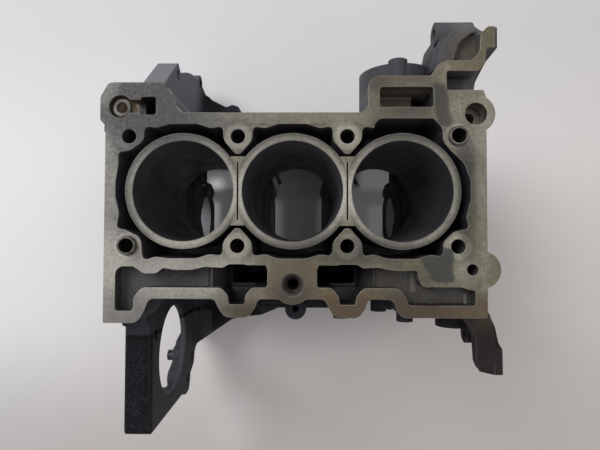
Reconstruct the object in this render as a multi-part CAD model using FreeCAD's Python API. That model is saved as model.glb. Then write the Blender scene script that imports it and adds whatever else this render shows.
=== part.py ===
import FreeCAD, Part
import math
import os

# A three-cylinder engine block of cast iron, with its deck face up.
# Lengths are in millimetres. The crankshaft runs along X, +Y points to the
# exhaust side and +Z points out of the deck. The origin is the centre of the
# middle cylinder bore in the deck face. The clutch end is at -X, the timing
# end at +X, and the block stands on its sump rail.

# Cylinders and crankshaft
cylinder_count = 3
bore_pitch = 78.0
bore_radius = 35.95
liner_wall = 5.4
bore_length = 134.0
crank_depth = 207.0
crank_offset = -10.0
main_bore_radius = 24.0
sump_depth = 258.0

# Head bolts and the two ring dowels that place the cylinder head
bolt_row = 39.0
head_bolt_radius = 5.2
head_bolt_depth = 26.0
head_thread_radius = 4.4
head_thread_depth = 92.0
dowel_radius = 7.0
dowel_wall = 1.8
dowel_length = 12.0
dowel_stand_out = 3.4
dowel_chamfer = 0.5
dowel_slide = 0.3
press_clearance = 0.03
thread_clearance = 0.05

# Water jacket and the walls around it
jacket_depth = 66.0
jacket_reach = 7.3
jacket_bulge = 9.0
jacket_end_gap = 48.0
jacket_wall_reach = 15.5
bolt_boss_radius = 10.2
bolt_nose_reach = 11.2
bridge_half_width = 5.0
bridge_half_length = 24.6
slit_width = 1.1
slit_half_length = 20.6
slit_depth = 9.0
barrel_wall = 5.5
bolt_column_radius = 11.4
bolt_column_depth = 112.0

# Deck plate
deck_thickness = 14.0
clutch_margin = 17.0
timing_margin = 20.3
exhaust_margin = 17.2
deck_bottom_row = -89.3
deck_foot_row = -93.8
gallery_row = -76.6
gallery_depth = 36.0
pocket_depth = 11.0
lobe_pocket_depth = 28.0
duct_depth = 128.0
duct_wall = 6.0
pocket_ramp_start = 19.6
pocket_ramp_end = 9.0

# Crankcase
case_wall = 7.0
case_half_width = 84.0
case_shoulder_depth = 112.0
case_side_depth = 146.0
bulkhead_half_width = 9.6
upper_bulkhead_half_width = 4.2
bulkhead_foot_depth = case_side_depth + 40.0
rail_half_width = 96.0
rail_thickness = 11.0
rail_bolt_radius = 3.4
rail_bolt_depth = 18.0
rail_bolts_each_side = 6

# Main bearing caps and their bolts
cap_half_width = 42.0
cap_height = 44.0
cap_side_height = 30.0
cap_bolt_offset = 32.0
cap_bolt_radius = 4.9
cap_bolt_clearance = 0.3
cap_bolt_head_radius = 8.4
cap_bolt_head_height = 8.0
cap_bolt_flange_radius = 9.4
cap_seat_clearance = 0.6
cap_bolt_thread_length = 42.0
cap_pad_radius = 12.0
cap_side_clearance = 0.05

# Clutch housing flange at the -X end
clutch_face = -138.0
clutch_flange_depth = 20.0
clutch_rim = 9.0
clutch_web = 5.0
clutch_arc_radius = 162.0
clutch_bolt_circle = 162.0
ear_top_depth = 50.0
ear_edge = -196.0
ear_boss_radius = 9.8
clutch_bolt_radius = 5.2
starter_row = -141.0
starter_depth = 116.5
starter_radius = 42.3
clutch_dowel_radius = 6.0
clutch_dowel_wall = 1.5
clutch_dowel_length = 16.0
clutch_dowel_stand_out = 7.0

# Timing cover flange at the +X end
timing_face = 149.5
timing_flange = 5.6
timing_edge = -104.0
timing_boss_radius = 8.0
timing_bolt_radius = 3.4
timing_rim = 11.0
timing_recess_depth = 7.0
seal_bore_radius = 33.0

# Coolant chamber and its window on the exhaust side
housing_column = 80.8
housing_depth = 38.0
housing_radius = 28.7
housing_wall = 6.0
housing_face = 95.5
stub_radius = 7.0
stub_column = 77.7
stub_depth = 14.0

# Piston cooling jets
jet_tube_radius = 1.7
jet_bend_radius = 5.0
jet_body_radius = 5.2
jet_body_length = 9.0
jet_bolt_radius = 2.0
jet_bolt_reach = 8.0
jet_bolt_head_radius = 4.6
jet_bolt_head_height = 3.6
jet_row = 27.0
jet_tip_height = 1.4

# Plugs pressed or screwed into the casting
core_plug_radius = 15.0
core_plug_depth = 7.0
core_plug_wall = 1.4
core_plug_stand_out = 2.5
gallery_plug_radius = 7.5
gallery_plug_length = 10.0
gallery_plug_hex = 3.4
gallery_plug_head = 2.4

# Places that follow from the sizes above
bore_centres = [(i - (cylinder_count - 1) / 2) * bore_pitch for i in range(cylinder_count)]
bolt_columns = [(i - cylinder_count / 2) * bore_pitch for i in range(cylinder_count + 1)]
first_column = bolt_columns[0]
last_column = bolt_columns[-1]
left_column = bore_centres[0] + bore_pitch / 2
right_column = bore_centres[-1] - bore_pitch / 2
liner_radius = bore_radius + liner_wall
clutch_edge = first_column - clutch_margin
deck_timing_edge = last_column + timing_margin
exhaust_edge = bolt_row + exhaust_margin
crank_z = -crank_depth
clutch_inner = clutch_face + clutch_flange_depth
timing_inner = timing_face - timing_flange


def vector(x, y, z):
    return FreeCAD.Vector(x, y, z)


def rounded(corners):
    """Pairs of (line, arc) points of a closed outline whose corners (a, b, radius) are rounded."""
    flat = [vector(a, b, 0) for a, b, _ in corners]
    pieces = []
    for i, (_, _, radius) in enumerate(corners):
        before = flat[i - 1] - flat[i]
        after = flat[(i + 1) % len(flat)] - flat[i]
        half = before.getAngle(after) / 2
        if radius <= 0 or half > math.radians(89.5):
            pieces.append((flat[i],))
            continue
        reach = min(radius / math.tan(half), 0.48 * before.Length, 0.48 * after.Length)
        before.normalize()
        after.normalize()
        across = before + after
        across.normalize()
        true_radius = reach * math.tan(half)
        middle = flat[i] + across * (true_radius / math.sin(half) - true_radius)
        pieces.append((flat[i] + before * reach, middle, flat[i] + after * reach))
    return pieces


def face(corners, place):
    """Flat face inside the rounded outline. place turns the two flat coordinates into a point in space."""
    pieces = [[place(p.x, p.y) for p in piece] for piece in rounded(corners)]
    edges = []
    for i, piece in enumerate(pieces):
        if len(piece) == 3:
            edges.append(Part.Arc(*piece).toShape())
        start = piece[-1]
        end = pieces[(i + 1) % len(pieces)][0]
        if (end - start).Length > 0.001:
            edges.append(Part.LineSegment(start, end).toShape())
    return Part.Face(Part.Wire(edges))


def prism_z(corners, low, high):
    return face(corners, lambda a, b: vector(a, b, low)).extrude(vector(0, 0, high - low))


def prism_x(corners, low, high):
    """Corners are (y, z, radius)."""
    return face(corners, lambda a, b: vector(low, a, b)).extrude(vector(high - low, 0, 0))


def prism_y(corners, low, high):
    """Corners are (x, z, radius)."""
    return face(corners, lambda a, b: vector(a, low, b)).extrude(vector(0, high - low, 0))


def box(low, high):
    size = vector(*high) - vector(*low)
    return Part.makeBox(size.x, size.y, size.z, vector(*low))


def rod_z(x, y, radius, low, high):
    return Part.makeCylinder(radius, high - low, vector(x, y, low), vector(0, 0, 1))


def rod_x(y, z, radius, low, high):
    return Part.makeCylinder(radius, high - low, vector(low, y, z), vector(1, 0, 0))


def rod_y(x, z, radius, low, high):
    return Part.makeCylinder(radius, high - low, vector(x, low, z), vector(0, 1, 0))


def join(shapes):
    return shapes[0].multiFuse(shapes[1:]).removeSplitter()


def dowel_places():
    return [(first_column, -bolt_row), (last_column, bolt_row)]


def pump_boss_place():
    return last_column + 13, bolt_row + 16.2


def drain_boss_place():
    return last_column + 16.6, -bolt_row - 16.3


def oil_feed_place():
    return (left_column + right_column) / 2 + 0.3, gallery_row + 10.1


def deck_outline():
    """Outline of the deck face, from the clutch end's intake corner round by the exhaust side."""
    clutch_pad_top = exhaust_edge + 21.8
    housing_top = exhaust_edge + 26.3
    notch_low = exhaust_edge + 16
    notch_high = exhaust_edge + 29.8
    arm_top = exhaust_edge + 61.8
    outline = [
        (clutch_edge, deck_foot_row, 1.5),
        (clutch_edge, exhaust_edge - 9.5, 3),
        (clutch_edge - 4, exhaust_edge - 5.5, 3),
        (clutch_edge - 4, exhaust_edge + 11.5, 6),
        (clutch_edge + 2, clutch_pad_top, 5),
        (first_column + 25, clutch_pad_top, 9),
        (first_column + 31.5, exhaust_edge + 12, 7),
        (first_column + 34, exhaust_edge + 4, 3),
        (first_column + 38, exhaust_edge, 3),
        (right_column + 15, exhaust_edge, 7),
        (right_column + 15, housing_top, 8),
        (last_column - 18.5, housing_top, 3),
        (last_column - 13, exhaust_edge + 35, 6),
        (last_column - 7, notch_high + 7.5, 4),
        (last_column + 11, notch_high + 7.5, 5),
        (last_column + 16, exhaust_edge + 44, 5),
        (last_column + 17, exhaust_edge + 57, 3),
        (last_column + 22, arm_top, 2),
        (timing_inner, arm_top, 1),
        (timing_inner, exhaust_edge + 46.6, 1),
        (last_column + 20.6, exhaust_edge + 46.6, 3),
        (last_column + 20, exhaust_edge + 35, 4),
        (last_column + 15, notch_high, 3),
        (last_column - 7.5, notch_high, 1.5),
        (last_column - 7.5, notch_low, 1.5),
        (last_column + 18.5, notch_low, 1.5),
        (deck_timing_edge, exhaust_edge + 10, 4),
        (deck_timing_edge, deck_bottom_row, 1.5),
    ]
    outline += [
        (last_column - 42, deck_bottom_row, 9),
        (last_column - 45.6, gallery_row, 5),
    ]
    for column in (right_column, left_column):
        outline += [
            (column + 15, gallery_row, 4),
            (column + 12.5, gallery_row - 6.4, 5),
            (column + 8, gallery_row - 13, 9),
            (column - 8.5, gallery_row - 13, 9),
            (column - 13, gallery_row - 6.4, 5),
            (column - 16, gallery_row, 4),
        ]
    outline += [
        (first_column + 15.5, gallery_row, 5),
        (first_column + 12.5, gallery_row - 8, 6),
        (first_column + 7.5, deck_foot_row, 10),
    ]
    return outline


def clutch_pocket_outline():
    """Oil and breather pocket on the intake side, next to the clutch end."""
    top = gallery_row + 22
    floor = gallery_row + 8
    a = left_column
    return [
        (first_column - 8.6, gallery_row - 8.7, 2.5),
        (first_column - 8.6, top + 0.8, 9),
        (first_column + 4, top + 0.8, 4),
        (first_column + 11.5, top - 4.2, 6),
        (first_column + 20.5, top - 4.2, 5),
        (first_column + 25.5, top - 0.2, 3),
        (first_column + 33, top - 1.6, 20),
        (first_column + 45, top - 1.6, 20),
        (a - 23, top + 0.6, 3),
        (a - 10, top, 5),
        (a - 6, top + 2.6, 6),
        (a + 6, top + 2.6, 6),
        (a + 10, top - 0.1, 5),
        (a + 21.5, top - 0.1, 1.8),
        (a + 21.5, floor + 0.2, 1.8),
        (a + 10.5, floor + 0.2, 5.5),
        (a + 5.8, floor - 5.4, 5),
        (a + 5.4, gallery_row - 3.7, 1.5),
        (a - 5.6, gallery_row - 3.7, 1.5),
        (a - 6.5, floor - 5.4, 5),
        (a - 11, floor, 6),
        (first_column + 10, floor, 7),
        (first_column + 4.7, floor - 7.4, 6),
        (first_column + 4.2, gallery_row - 8.7, 2.5),
    ]


def timing_pocket_outline():
    """The matching pocket next to the timing end, which steps towards the deck's edge."""
    top = gallery_row + 22
    floor = gallery_row + 8
    b = right_column
    step = top - 13
    return [
        (b - 21.5, top - 0.1, 1.8),
        (b - 10, top - 0.1, 5),
        (b - 6, top + 2.6, 6),
        (b + 7, top + 2.6, 6),
        (b + 11, top, 5),
        (b + 22, top + 0.4, 3),
        (b + 33, top - 1.6, 20),
        (b + 41, top - 1.7, 6),
        (b + 49.4, top - 1.2, 2.5),
        (b + 50, top - 7.4, 3),
        (b + 52.5, step, 5),
        (last_column + 2, step, 8),
        (last_column + 8, step - 2, 4),
        (last_column + 11.8, step - 2.2, 2),
        (last_column + 11.8, step - 13, 2),
        (b + 43, step - 13, 2),
        (b + 41.5, floor - 7.4, 4),
        (b + 36.5, floor, 7),
        (b + 11, floor, 6),
        (b + 6.3, floor - 6.4, 5),
        (b + 5.6, gallery_row - 3.7, 1.5),
        (b - 5.4, gallery_row - 3.7, 1.5),
        (b - 6, floor - 6.4, 5),
        (b - 10.5, floor + 0.2, 6),
        (b - 21.5, floor + 0.2, 1.8),
    ]


def jacket_side(side, window):
    """Outer edge of the water jacket along one side, from the clutch end to the timing end."""
    reach = bolt_row + jacket_reach
    points = []
    for index, centre in enumerate(bore_centres):
        first, last = index == 0, index == len(bore_centres) - 1
        if not first:
            points.append((bolt_columns[index] + 10.6, reach, 3.2))
            points.append((centre - 19.5, reach - 1.4, 8))
        else:
            lift = 0 if side > 0 else 3.6
            points.append((bolt_columns[0] + 11, reach + lift, 3.2))
            points.append((centre - 19.5, reach - 1.2 + lift / 2, 8))
        if last and window:
            points += [(centre - 20, reach + 1.2, 5), (centre - 16, reach + 5.6, 4)]
            points += [(centre + 22, reach + 5.6, 3), (centre + 28.4, reach - 1.5, 6)]
            continue
        points.append((centre - 10, bolt_row + jacket_bulge, 14))
        points.append((centre + 10, bolt_row + jacket_bulge, 14))
        points.append((centre + 19.5, reach - 1.4, 8))
        points.append((bolt_columns[index + 1] - 10.6, reach, 3.2))
        if not last:
            points += bolt_nose(bolt_columns[index + 1])
    return [(x, side * y, r) for x, y, r in points]


def bolt_nose(column):
    """Corners of the boss round one inner head bolt, seen from its bore side."""
    shoulder = bolt_row - 3
    tip = bolt_row - bolt_nose_reach
    return [
        (column - bolt_boss_radius, shoulder, 9),
        (column - 1.6, tip - 1.4, 6.5),
        (column + 1.6, tip - 1.4, 6.5),
        (column + bolt_boss_radius, shoulder, 9),
    ]


def jacket_outline():
    """Outer edge of the open water jacket, round all the cylinders."""
    exhaust = jacket_side(1, True)
    intake = jacket_side(-1, False)
    timing_x = bore_centres[-1] + jacket_end_gap
    clutch_x = bore_centres[0] - jacket_end_gap
    timing_end = [
        (last_column - bolt_boss_radius, bolt_row - 4, 8),
        (last_column - 4, bolt_row - 11, 6),
        (last_column + 4.5, bolt_row - 19, 12),
        (timing_x, 8, 24),
        (timing_x, -6, 16),
        (timing_x - 3.4, -18, 8),
        (last_column + 7.8, -bolt_row + 12.4, 3),
        (last_column - 3, -bolt_row + 10.6, 8),
        (last_column - bolt_boss_radius - 0.4, -bolt_row + 3, 6),
    ]
    clutch_end = [
        (first_column + bolt_boss_radius - 0.2, -bolt_row - 2, 6),
        (first_column + bolt_boss_radius - 1, -bolt_row + 6, 8),
        (first_column - 2, -bolt_row + 11.2, 7),
        (first_column - 8.2, -bolt_row + 12.4, 3),
        (clutch_x + 2.6, -16, 8),
        (clutch_x - 0.3, -4, 16),
        (clutch_x - 0.3, 6, 16),
        (clutch_x + 1.6, 19, 10),
        (first_column - 7.6, bolt_row - 11.6, 3),
        (first_column + 1, bolt_row - 10, 8),
        (first_column + bolt_boss_radius + 0.4, bolt_row - 3, 8),
    ]
    return exhaust + timing_end + list(reversed(intake)) + clutch_end


def liners():
    """The cylinder walls, joined to each other by the bridges between them."""
    solids = [rod_z(x, 0, liner_radius, -bore_length, 0) for x in bore_centres]
    for x in bolt_columns[1:-1]:
        low = (x - bridge_half_width, -bridge_half_length, -jacket_depth)
        high = (x + bridge_half_width, bridge_half_length, 0)
        solids.append(box(low, high))
    return join(solids)


def water_jacket():
    jacket = prism_z(jacket_outline(), -jacket_depth, 0)
    return jacket.cut(liners())


def jacket_wall():
    """Outer form of the walls round the water jacket."""
    low = -jacket_depth - barrel_wall
    profile = [
        (-bolt_row - jacket_wall_reach, 0, 0),
        (-bolt_row - jacket_wall_reach, low, 8),
        (exhaust_edge, low, 8),
        (exhaust_edge, 0, 0),
    ]
    return prism_x(profile, clutch_edge, deck_timing_edge - 4)


def gallery_outline():
    """The intake side of the deck outline, for the deeper wall under the pockets."""
    low = [c for c in deck_outline() if c[1] < gallery_row + 1]
    top = gallery_row + 26
    corners = [c for c in low if c[0] < deck_timing_edge]
    return [(clutch_edge, top, 0), (deck_timing_edge, top, 0), (deck_timing_edge, deck_bottom_row, 1.5)] + [
        c for c in corners if c[0] > clutch_edge
    ] + [(clutch_edge, deck_foot_row, 1.5)]


def upper_body():
    """Deck plate, cylinder barrel, head bolt columns and the wall under the intake pockets."""
    solids = [prism_z(deck_outline(), -deck_thickness, 0)]
    solids.append(prism_z(gallery_outline(), -gallery_depth, 0))
    solids.append(jacket_wall())
    barrel = jacket_end_gap + barrel_wall
    for x in bore_centres:
        solids.append(rod_z(x, 0, barrel, -bore_length, 0))
    low = (clutch_edge, -bolt_row - 7, -bore_length)
    high = (deck_timing_edge - 4, bolt_row + 7, 0)
    solids.append(box(low, high))
    for x in bolt_columns:
        for y in (-bolt_row, bolt_row):
            solids.append(rod_z(x, y, bolt_column_radius, -bolt_column_depth, 0))
    x, y = pump_boss_place()
    solids.append(rod_z(x, y, 13.6, -40, 0))
    x, y = drain_boss_place()
    solids.append(rod_z(x, y, 13.2, -46, 0))
    x, y = oil_feed_place()
    solids.append(rod_z(x, y, 13.8, -bore_length, 0))
    solids.append(box((x - 16, y, -bore_length), (x + 16, -bolt_row - 6, -gallery_depth + 4)))
    return solids


def oil_ducts():
    """The two deep returns under the pockets: outer walls, and the space inside them."""
    walls, spaces = [], []
    high = gallery_row + 24
    for column, near in ((left_column, 1), (right_column, -1)):
        inner = column + near * 21
        outer = column - near * 8
        low_x, high_x = min(inner, outer), max(inner, outer)
        outline = [
            (low_x - duct_wall, high + 8, 0),
            (high_x + duct_wall, high + 8, 0),
            (high_x + duct_wall, gallery_row + 1, 7),
            (low_x - duct_wall, gallery_row + 1, 7),
        ]
        walls.append(prism_z(outline, -bore_length - 10, -deck_thickness))
        space = [
            (low_x, high, 2),
            (high_x, high, 2),
            (high_x, gallery_row + 8.4, 2),
            (low_x, gallery_row + 8.4, 2),
        ]
        spaces.append(prism_z(space, -duct_depth, 0))
    return walls, spaces


def pocket_spaces():
    """Everything cut from the deck on the intake side, apart from the ducts themselves."""
    cuts = []
    for outline, column, near in (
        (clutch_pocket_outline(), left_column, -1),
        (timing_pocket_outline(), right_column, 1),
    ):
        shape = prism_z(outline, -gallery_depth + 2, 0)
        cuts.append(shape.common(prism_z(outline, -pocket_depth, 0)))
        far = column - near * 22
        edge = column + near * pocket_ramp_start
        ramp_end = column + near * pocket_ramp_end
        ramp = prism_y(
            [
                (far, 0, 0),
                (edge, 0, 0),
                (edge, -pocket_depth - 1, 0),
                (ramp_end, -gallery_depth + 4, 3),
                (far, -gallery_depth + 4, 0),
            ],
            gallery_row + 6,
            gallery_row + 30,
        )
        cuts.append(shape.common(ramp))
        lobe = box(
            (column - 9, gallery_row - 4, -lobe_pocket_depth),
            (column + 9, gallery_row + 10, 0),
        )
        cuts.append(shape.common(lobe))
    return cuts


def crankcase():
    """Skirt with its shoulders, sump rail and four bearing bulkheads, as solid outer forms."""
    y = crank_offset
    left, right = clutch_edge, timing_inner
    skirt = [
        (-bolt_row - 9, -case_shoulder_depth, 8),
        (y - case_half_width, -case_side_depth, 14),
        (y - case_half_width, -sump_depth, 0),
        (y + case_half_width, -sump_depth, 0),
        (y + case_half_width, -case_side_depth, 14),
        (bolt_row + 9, -case_shoulder_depth, 8),
    ]
    rail = [
        (left, y - rail_half_width, 6),
        (left, y + rail_half_width, 6),
        (right, y + rail_half_width, 6),
        (right, y - rail_half_width, 6),
    ]
    return [
        prism_x(skirt, left, right),
        prism_z(rail, -sump_depth, -sump_depth + rail_thickness),
    ]


def crank_chambers():
    """The space for each crank throw, open below, and the opening under the bearings."""
    y = crank_offset
    inner = case_half_width - case_wall
    side = [
        (y - inner, -sump_depth - 1, 0),
        (y - inner, -case_side_depth - 6, 14),
        (y - inner + 22, -bore_length, 10),
        (y + inner - 22, -bore_length, 10),
        (y + inner, -case_side_depth - 6, 14),
        (y + inner, -sump_depth - 1, 0),
    ]
    spaces = []
    half_pitch = bore_pitch / 2
    wide = half_pitch - upper_bulkhead_half_width
    narrow = half_pitch - bulkhead_half_width
    for x in bore_centres:
        across = [
            (x - wide, -bore_length + 1, 0),
            (x - wide, -bulkhead_foot_depth + 16, 6),
            (x - narrow, -bulkhead_foot_depth, 6),
            (x - narrow, -sump_depth - 1, 0),
            (x + narrow, -sump_depth - 1, 0),
            (x + narrow, -bulkhead_foot_depth, 6),
            (x + wide, -bulkhead_foot_depth + 16, 6),
            (x + wide, -bore_length + 1, 0),
        ]
        chamber = prism_x(side, x - half_pitch, x + half_pitch)
        spaces.append(chamber.common(prism_y(across, y - inner - 1, y + inner + 1)))
    below_low = (first_column - bulkhead_half_width, y - inner, -sump_depth - 1)
    below_high = (last_column + bulkhead_half_width, y + inner, crank_z)
    spaces.append(box(below_low, below_high))
    return spaces


def clutch_side(inset):
    """Outline of the clutch flange on the starter's side, moved inwards by the inset."""
    low = -sump_depth + inset
    inner = -gallery_boss_side()
    return [
        (inner, -ear_top_depth - inset, 0),
        (ear_edge + inset, -ear_top_depth - inset, 7),
        (ear_edge + inset, starter_row_depth(-30) + inset / 2, 8),
        (ear_edge - 5 + inset, starter_row_depth(-46) + inset / 2, 8),
        (ear_edge - 3.5 + inset, starter_row_depth(-60) + inset, 7),
        (ear_edge + 12 + inset, starter_row_depth(-63) + inset, 4),
        (ear_edge + 20 + inset, starter_row_depth(-79) + inset, 7),
        (ear_edge + 34 + inset, starter_row_depth(-82) + inset, 12),
        (ear_edge + 44 + inset, starter_row_depth(-112) + inset, 16),
        (ear_edge + 66 + inset, low, 8),
        (inner, low, 0),
    ]


def starter_row_depth(below):
    """Height of a point of the flange measured from the starter's centre."""
    return below - starter_depth


def clutch_flange():
    """Flange and dished web of the clutch housing, with the starter opening."""
    y, z = crank_offset, crank_z
    flange = prism_x(clutch_side(0), clutch_face, clutch_inner)
    disc = rod_x(y, z, clutch_arc_radius, clutch_face, clutch_inner)
    window = box(
        (clutch_face, -40, -sump_depth),
        (clutch_inner, clutch_arc_radius + 10, -ear_top_depth),
    )
    pad = [
        (exhaust_edge, -ear_top_depth, 0),
        (exhaust_edge + 18, -ear_top_depth, 4),
        (exhaust_edge + 50.3, -ear_top_depth - 31.5, 0),
        (exhaust_edge + 85, -ear_top_depth - 72.5, 2.5),
        (exhaust_edge + 79, -ear_top_depth - 78, 2.5),
        (exhaust_edge + 60, -ear_top_depth - 92, 0),
        (exhaust_edge, -ear_top_depth - 92, 0),
    ]
    pieces = [flange, disc.common(window), prism_x(pad, clutch_face, clutch_inner)]
    pieces += [rod_x(by, bz, ear_boss_radius, clutch_face, clutch_inner) for by, bz in clutch_bolts()]
    flange = join(pieces)
    web_face = clutch_inner - clutch_web
    hollows = [prism_x(clutch_side(clutch_rim), clutch_face, web_face)]
    ring = rod_x(y, z, clutch_arc_radius - clutch_rim, clutch_face, web_face)
    far_side = box(
        (clutch_face, y + case_half_width + 4, -sump_depth + clutch_rim),
        (web_face, clutch_arc_radius + 10, -ear_top_depth - 60),
    )
    hollows.append(ring.common(far_side))
    bosses = [rod_x(by, bz, ear_boss_radius, clutch_face, clutch_inner) for by, bz in clutch_bolts()]
    edge = join(bosses).common(flange)
    flange = flange.cut(hollows).fuse(edge).removeSplitter()
    starter = rod_x(starter_row, -starter_depth, starter_radius, clutch_face - 1, clutch_inner + 1)
    return flange.cut(starter)


def gallery_boss_side():
    return -gallery_row - 14


def clutch_bolts():
    """Places (y, z) of the clutch housing bolts that stand clear of the block's body."""
    y, z = crank_offset, crank_z
    places = [(-116.5, -66.5), (ear_edge + 10.5, -170.5), (ear_edge + 30, -187.5)]
    for degrees in (-2.5, 31.5):
        angle = math.radians(degrees)
        reach = clutch_bolt_circle
        places.append((y + reach * math.cos(angle), z + reach * math.sin(angle)))
    return places


def gussets():
    """Webs that tie the clutch flange to the skirt, two on each side."""
    y = crank_offset
    side = case_half_width
    intake = [
        (clutch_inner, ear_edge + 39, 0),
        (clutch_inner + 44, y - side - 32.5, 8),
        (clutch_inner + 62, y - side - 29.5, 8),
        (clutch_inner + 77, y - side - 28, 8),
        (clutch_inner + 96, y - side - 20, 10),
        (clutch_inner + 112, y - side + 6, 4),
        (clutch_inner, y - side + 6, 0),
    ]
    exhaust = [
        (clutch_inner, y + side + 73, 0),
        (clutch_inner + 5, y + side + 70, 3),
        (clutch_inner + 9, y + side + 66, 3),
        (clutch_inner + 27, y + side + 57, 5),
        (clutch_inner + 34, y + side + 60.5, 5),
        (clutch_inner + 42, y + side + 58, 6),
        (clutch_inner + 48, y + side + 47, 8),
        (clutch_inner + 54, y + side + 20, 10),
        (clutch_inner + 62, y + side - 6, 4),
        (clutch_inner, y + side - 6, 0),
    ]
    floor = -sump_depth
    slope = [
        (clutch_edge - 4, -ear_top_depth + 14, 0),
        (first_column + 30, -ear_top_depth + 14, 0),
        (first_column + 44, -case_side_depth - 20, 0),
        (clutch_edge - 4, -case_side_depth - 20, 0),
    ]
    wedge = [
        (bolt_row, -ear_top_depth + 14, 0),
        (exhaust_edge + 8, -ear_top_depth + 4, 0),
        (exhaust_edge + 32, -case_side_depth - 20, 0),
        (bolt_row, -case_side_depth - 20, 0),
    ]
    shoulder = prism_y(slope, bolt_row, exhaust_edge + 34)
    shoulder = shoulder.common(prism_x(wedge, clutch_edge - 4, first_column + 46))
    ramp = [
        (deck_foot_row + 8, -deck_thickness, 0),
        (deck_foot_row + 1, -deck_thickness, 4),
        (deck_foot_row - 4, -ear_top_depth + 10, 5),
        (deck_foot_row - 11, -ear_top_depth + 6, 4),
        (deck_foot_row - 13, -ear_top_depth - 1, 0),
        (deck_foot_row + 8, -ear_top_depth - 1, 0),
    ]
    return [
        prism_x(ramp, clutch_face, clutch_inner),
        prism_z(intake, -bulkhead_foot_depth - 20, -bulkhead_foot_depth - 10),
        prism_z(exhaust, floor, floor + 18),
        shoulder,
    ]


def timing_flange_solid():
    """Flange of the timing cover, which reaches up past the deck's corners in two arms."""
    edge = timing_edge
    y = crank_offset
    reach = exhaust_edge
    outline = [
        (edge - 26, -5, 1),
        (edge - 8, -5.4, 2),
        (edge - 5, -12, 3),
        (edge + 5.5, -17.6, 6),
        (edge + 10, -24, 5),
        (edge + 20, -48, 10),
        (edge + 30, -62, 8),
        (reach + 18, -66, 8),
        (reach + 36, -59.5, 6),
        (reach + 42, -47, 8),
        (reach + 48, -31, 6),
        (reach + 50.5, -9.6, 1),
        (reach + 66.4, -9.6, 2),
        (reach + 67, -40, 8),
        (reach + 46, -92, 20),
        (y + rail_half_width + 8, -150, 20),
        (y + rail_half_width, -sump_depth, 0),
        (y - rail_half_width, -sump_depth, 0),
        (edge, -150, 20),
        (edge, -66, 6),
        (edge - 14, -47, 5),
        (edge - 27, -46, 7),
        (edge - 32, -33, 4),
    ]
    return prism_x(outline, timing_inner, timing_face)


def timing_bolts():
    """Places (y, z) of the timing cover's bolts, down both sides of its flange."""
    y = crank_offset
    side = rail_half_width - timing_boss_radius
    return [
        (timing_edge - 6.5, -53),
        (timing_edge + timing_boss_radius + 1, -105),
        (y - side, -160),
        (y - side, -215),
        (exhaust_edge + 34, -80),
        (y + side + 6, -120),
        (y + side, -165),
        (y + side, -215),
    ]


def timing_end_body():
    """Webs that carry the timing flange, its bosses and the two arms beside the deck."""
    solids = [timing_flange_solid()]
    for y, z in timing_bolts():
        solids.append(rod_x(y, z, timing_boss_radius, timing_inner - 4.6, timing_face))
    root = timing_inner
    low = deck_bottom_row
    intake_arm = [
        (last_column + 2, low + 8, 0),
        (last_column + 3.5, low, 3),
        (last_column + 8, low - 4.5, 6),
        (last_column + 12.8, low - 14, 10),
        (last_column + 13.8, low - 32, 5),
        (last_column + 16.5, low - 38.4, 4),
        (last_column + 25.5, low - 38.4, 3),
        (root, low - 40, 0),
        (root, low - 16, 3),
        (deck_timing_edge + 5, low - 7, 5),
        (deck_timing_edge + 2, low + 2, 3),
        (deck_timing_edge - 2, low + 8, 0),
    ]
    slope = [
        (low + 20, -1, 0),
        (low + 3, -1, 0),
        (low - 6, -2.6, 8),
        (low - 41, -6.5, 0),
        (low - 41, -12, 6),
        (low + 20, -12, 0),
    ]
    arm = prism_z(intake_arm, -20, 0)
    solids.append(arm.common(prism_x(slope, last_column, root)))
    solids.append(rod_y(last_column + 8.4, -40, 13, -102, gallery_row + 8))
    reach = exhaust_edge
    arm = [
        (last_column - 17.5, reach + 20, 3),
        (last_column - 14.5, reach + 46, 8),
        (last_column - 11, reach + 62, 5),
        (last_column + 4, reach + 70, 10),
        (root, reach + 67, 2),
        (root, reach + 50, 2),
        (deck_timing_edge + 2, reach + 42, 4),
        (deck_timing_edge - 2, reach + 20, 3),
    ]
    solids.append(prism_z(arm, -46, -19))
    floor = [
        (last_column - 17, reach + 31, 2),
        (last_column - 13, reach + 50, 10),
        (last_column - 6, reach + 61, 8),
        (last_column + 4, reach + 68.5, 8),
        (last_column + 13, reach + 69, 5),
        (last_column + 22.5, reach + 63, 1),
        (last_column + 22.5, reach + 47, 1),
        (last_column + 14, reach + 36, 3),
        (last_column, reach + 34, 3),
    ]
    solids.append(prism_z(floor, -30, -11))
    wall = [
        (last_column - 17.5, reach + 31, 2),
        (last_column - 13.5, reach + 36, 4),
        (last_column - 11, reach + 47, 8),
        (last_column - 4, reach + 58, 8),
        (last_column + 4, reach + 66, 8),
        (last_column + 12, reach + 67.5, 4),
        (last_column + 17.5, reach + 60, 3),
        (last_column + 12, reach + 59.5, 6),
        (last_column + 3, reach + 52, 10),
        (last_column - 0.5, reach + 40, 8),
        (last_column - 1, reach + 34, 2),
    ]
    solids.append(prism_z(wall, -30, -5))
    boss_y, boss_z = mount_boss_place()
    solids.append(rod_x(boss_y, boss_z, 8.7, last_column - 11.3, last_column + 16))
    web = [(last_column - 20, -40, 0), (timing_inner, -40, 0), (timing_inner, -118, 0), (last_column - 12, -118, 10)]
    solids.append(prism_y(web, bolt_row, exhaust_edge + 18))
    for z, far in ((-84, 93), (-118, 98)):
        rib = [(root - 34, 44, 0), (root, far, 0), (root, -far, 0), (root - 34, -44, 0)]
        solids.append(prism_z(rib, z - 7, z))
    return solids


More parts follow.
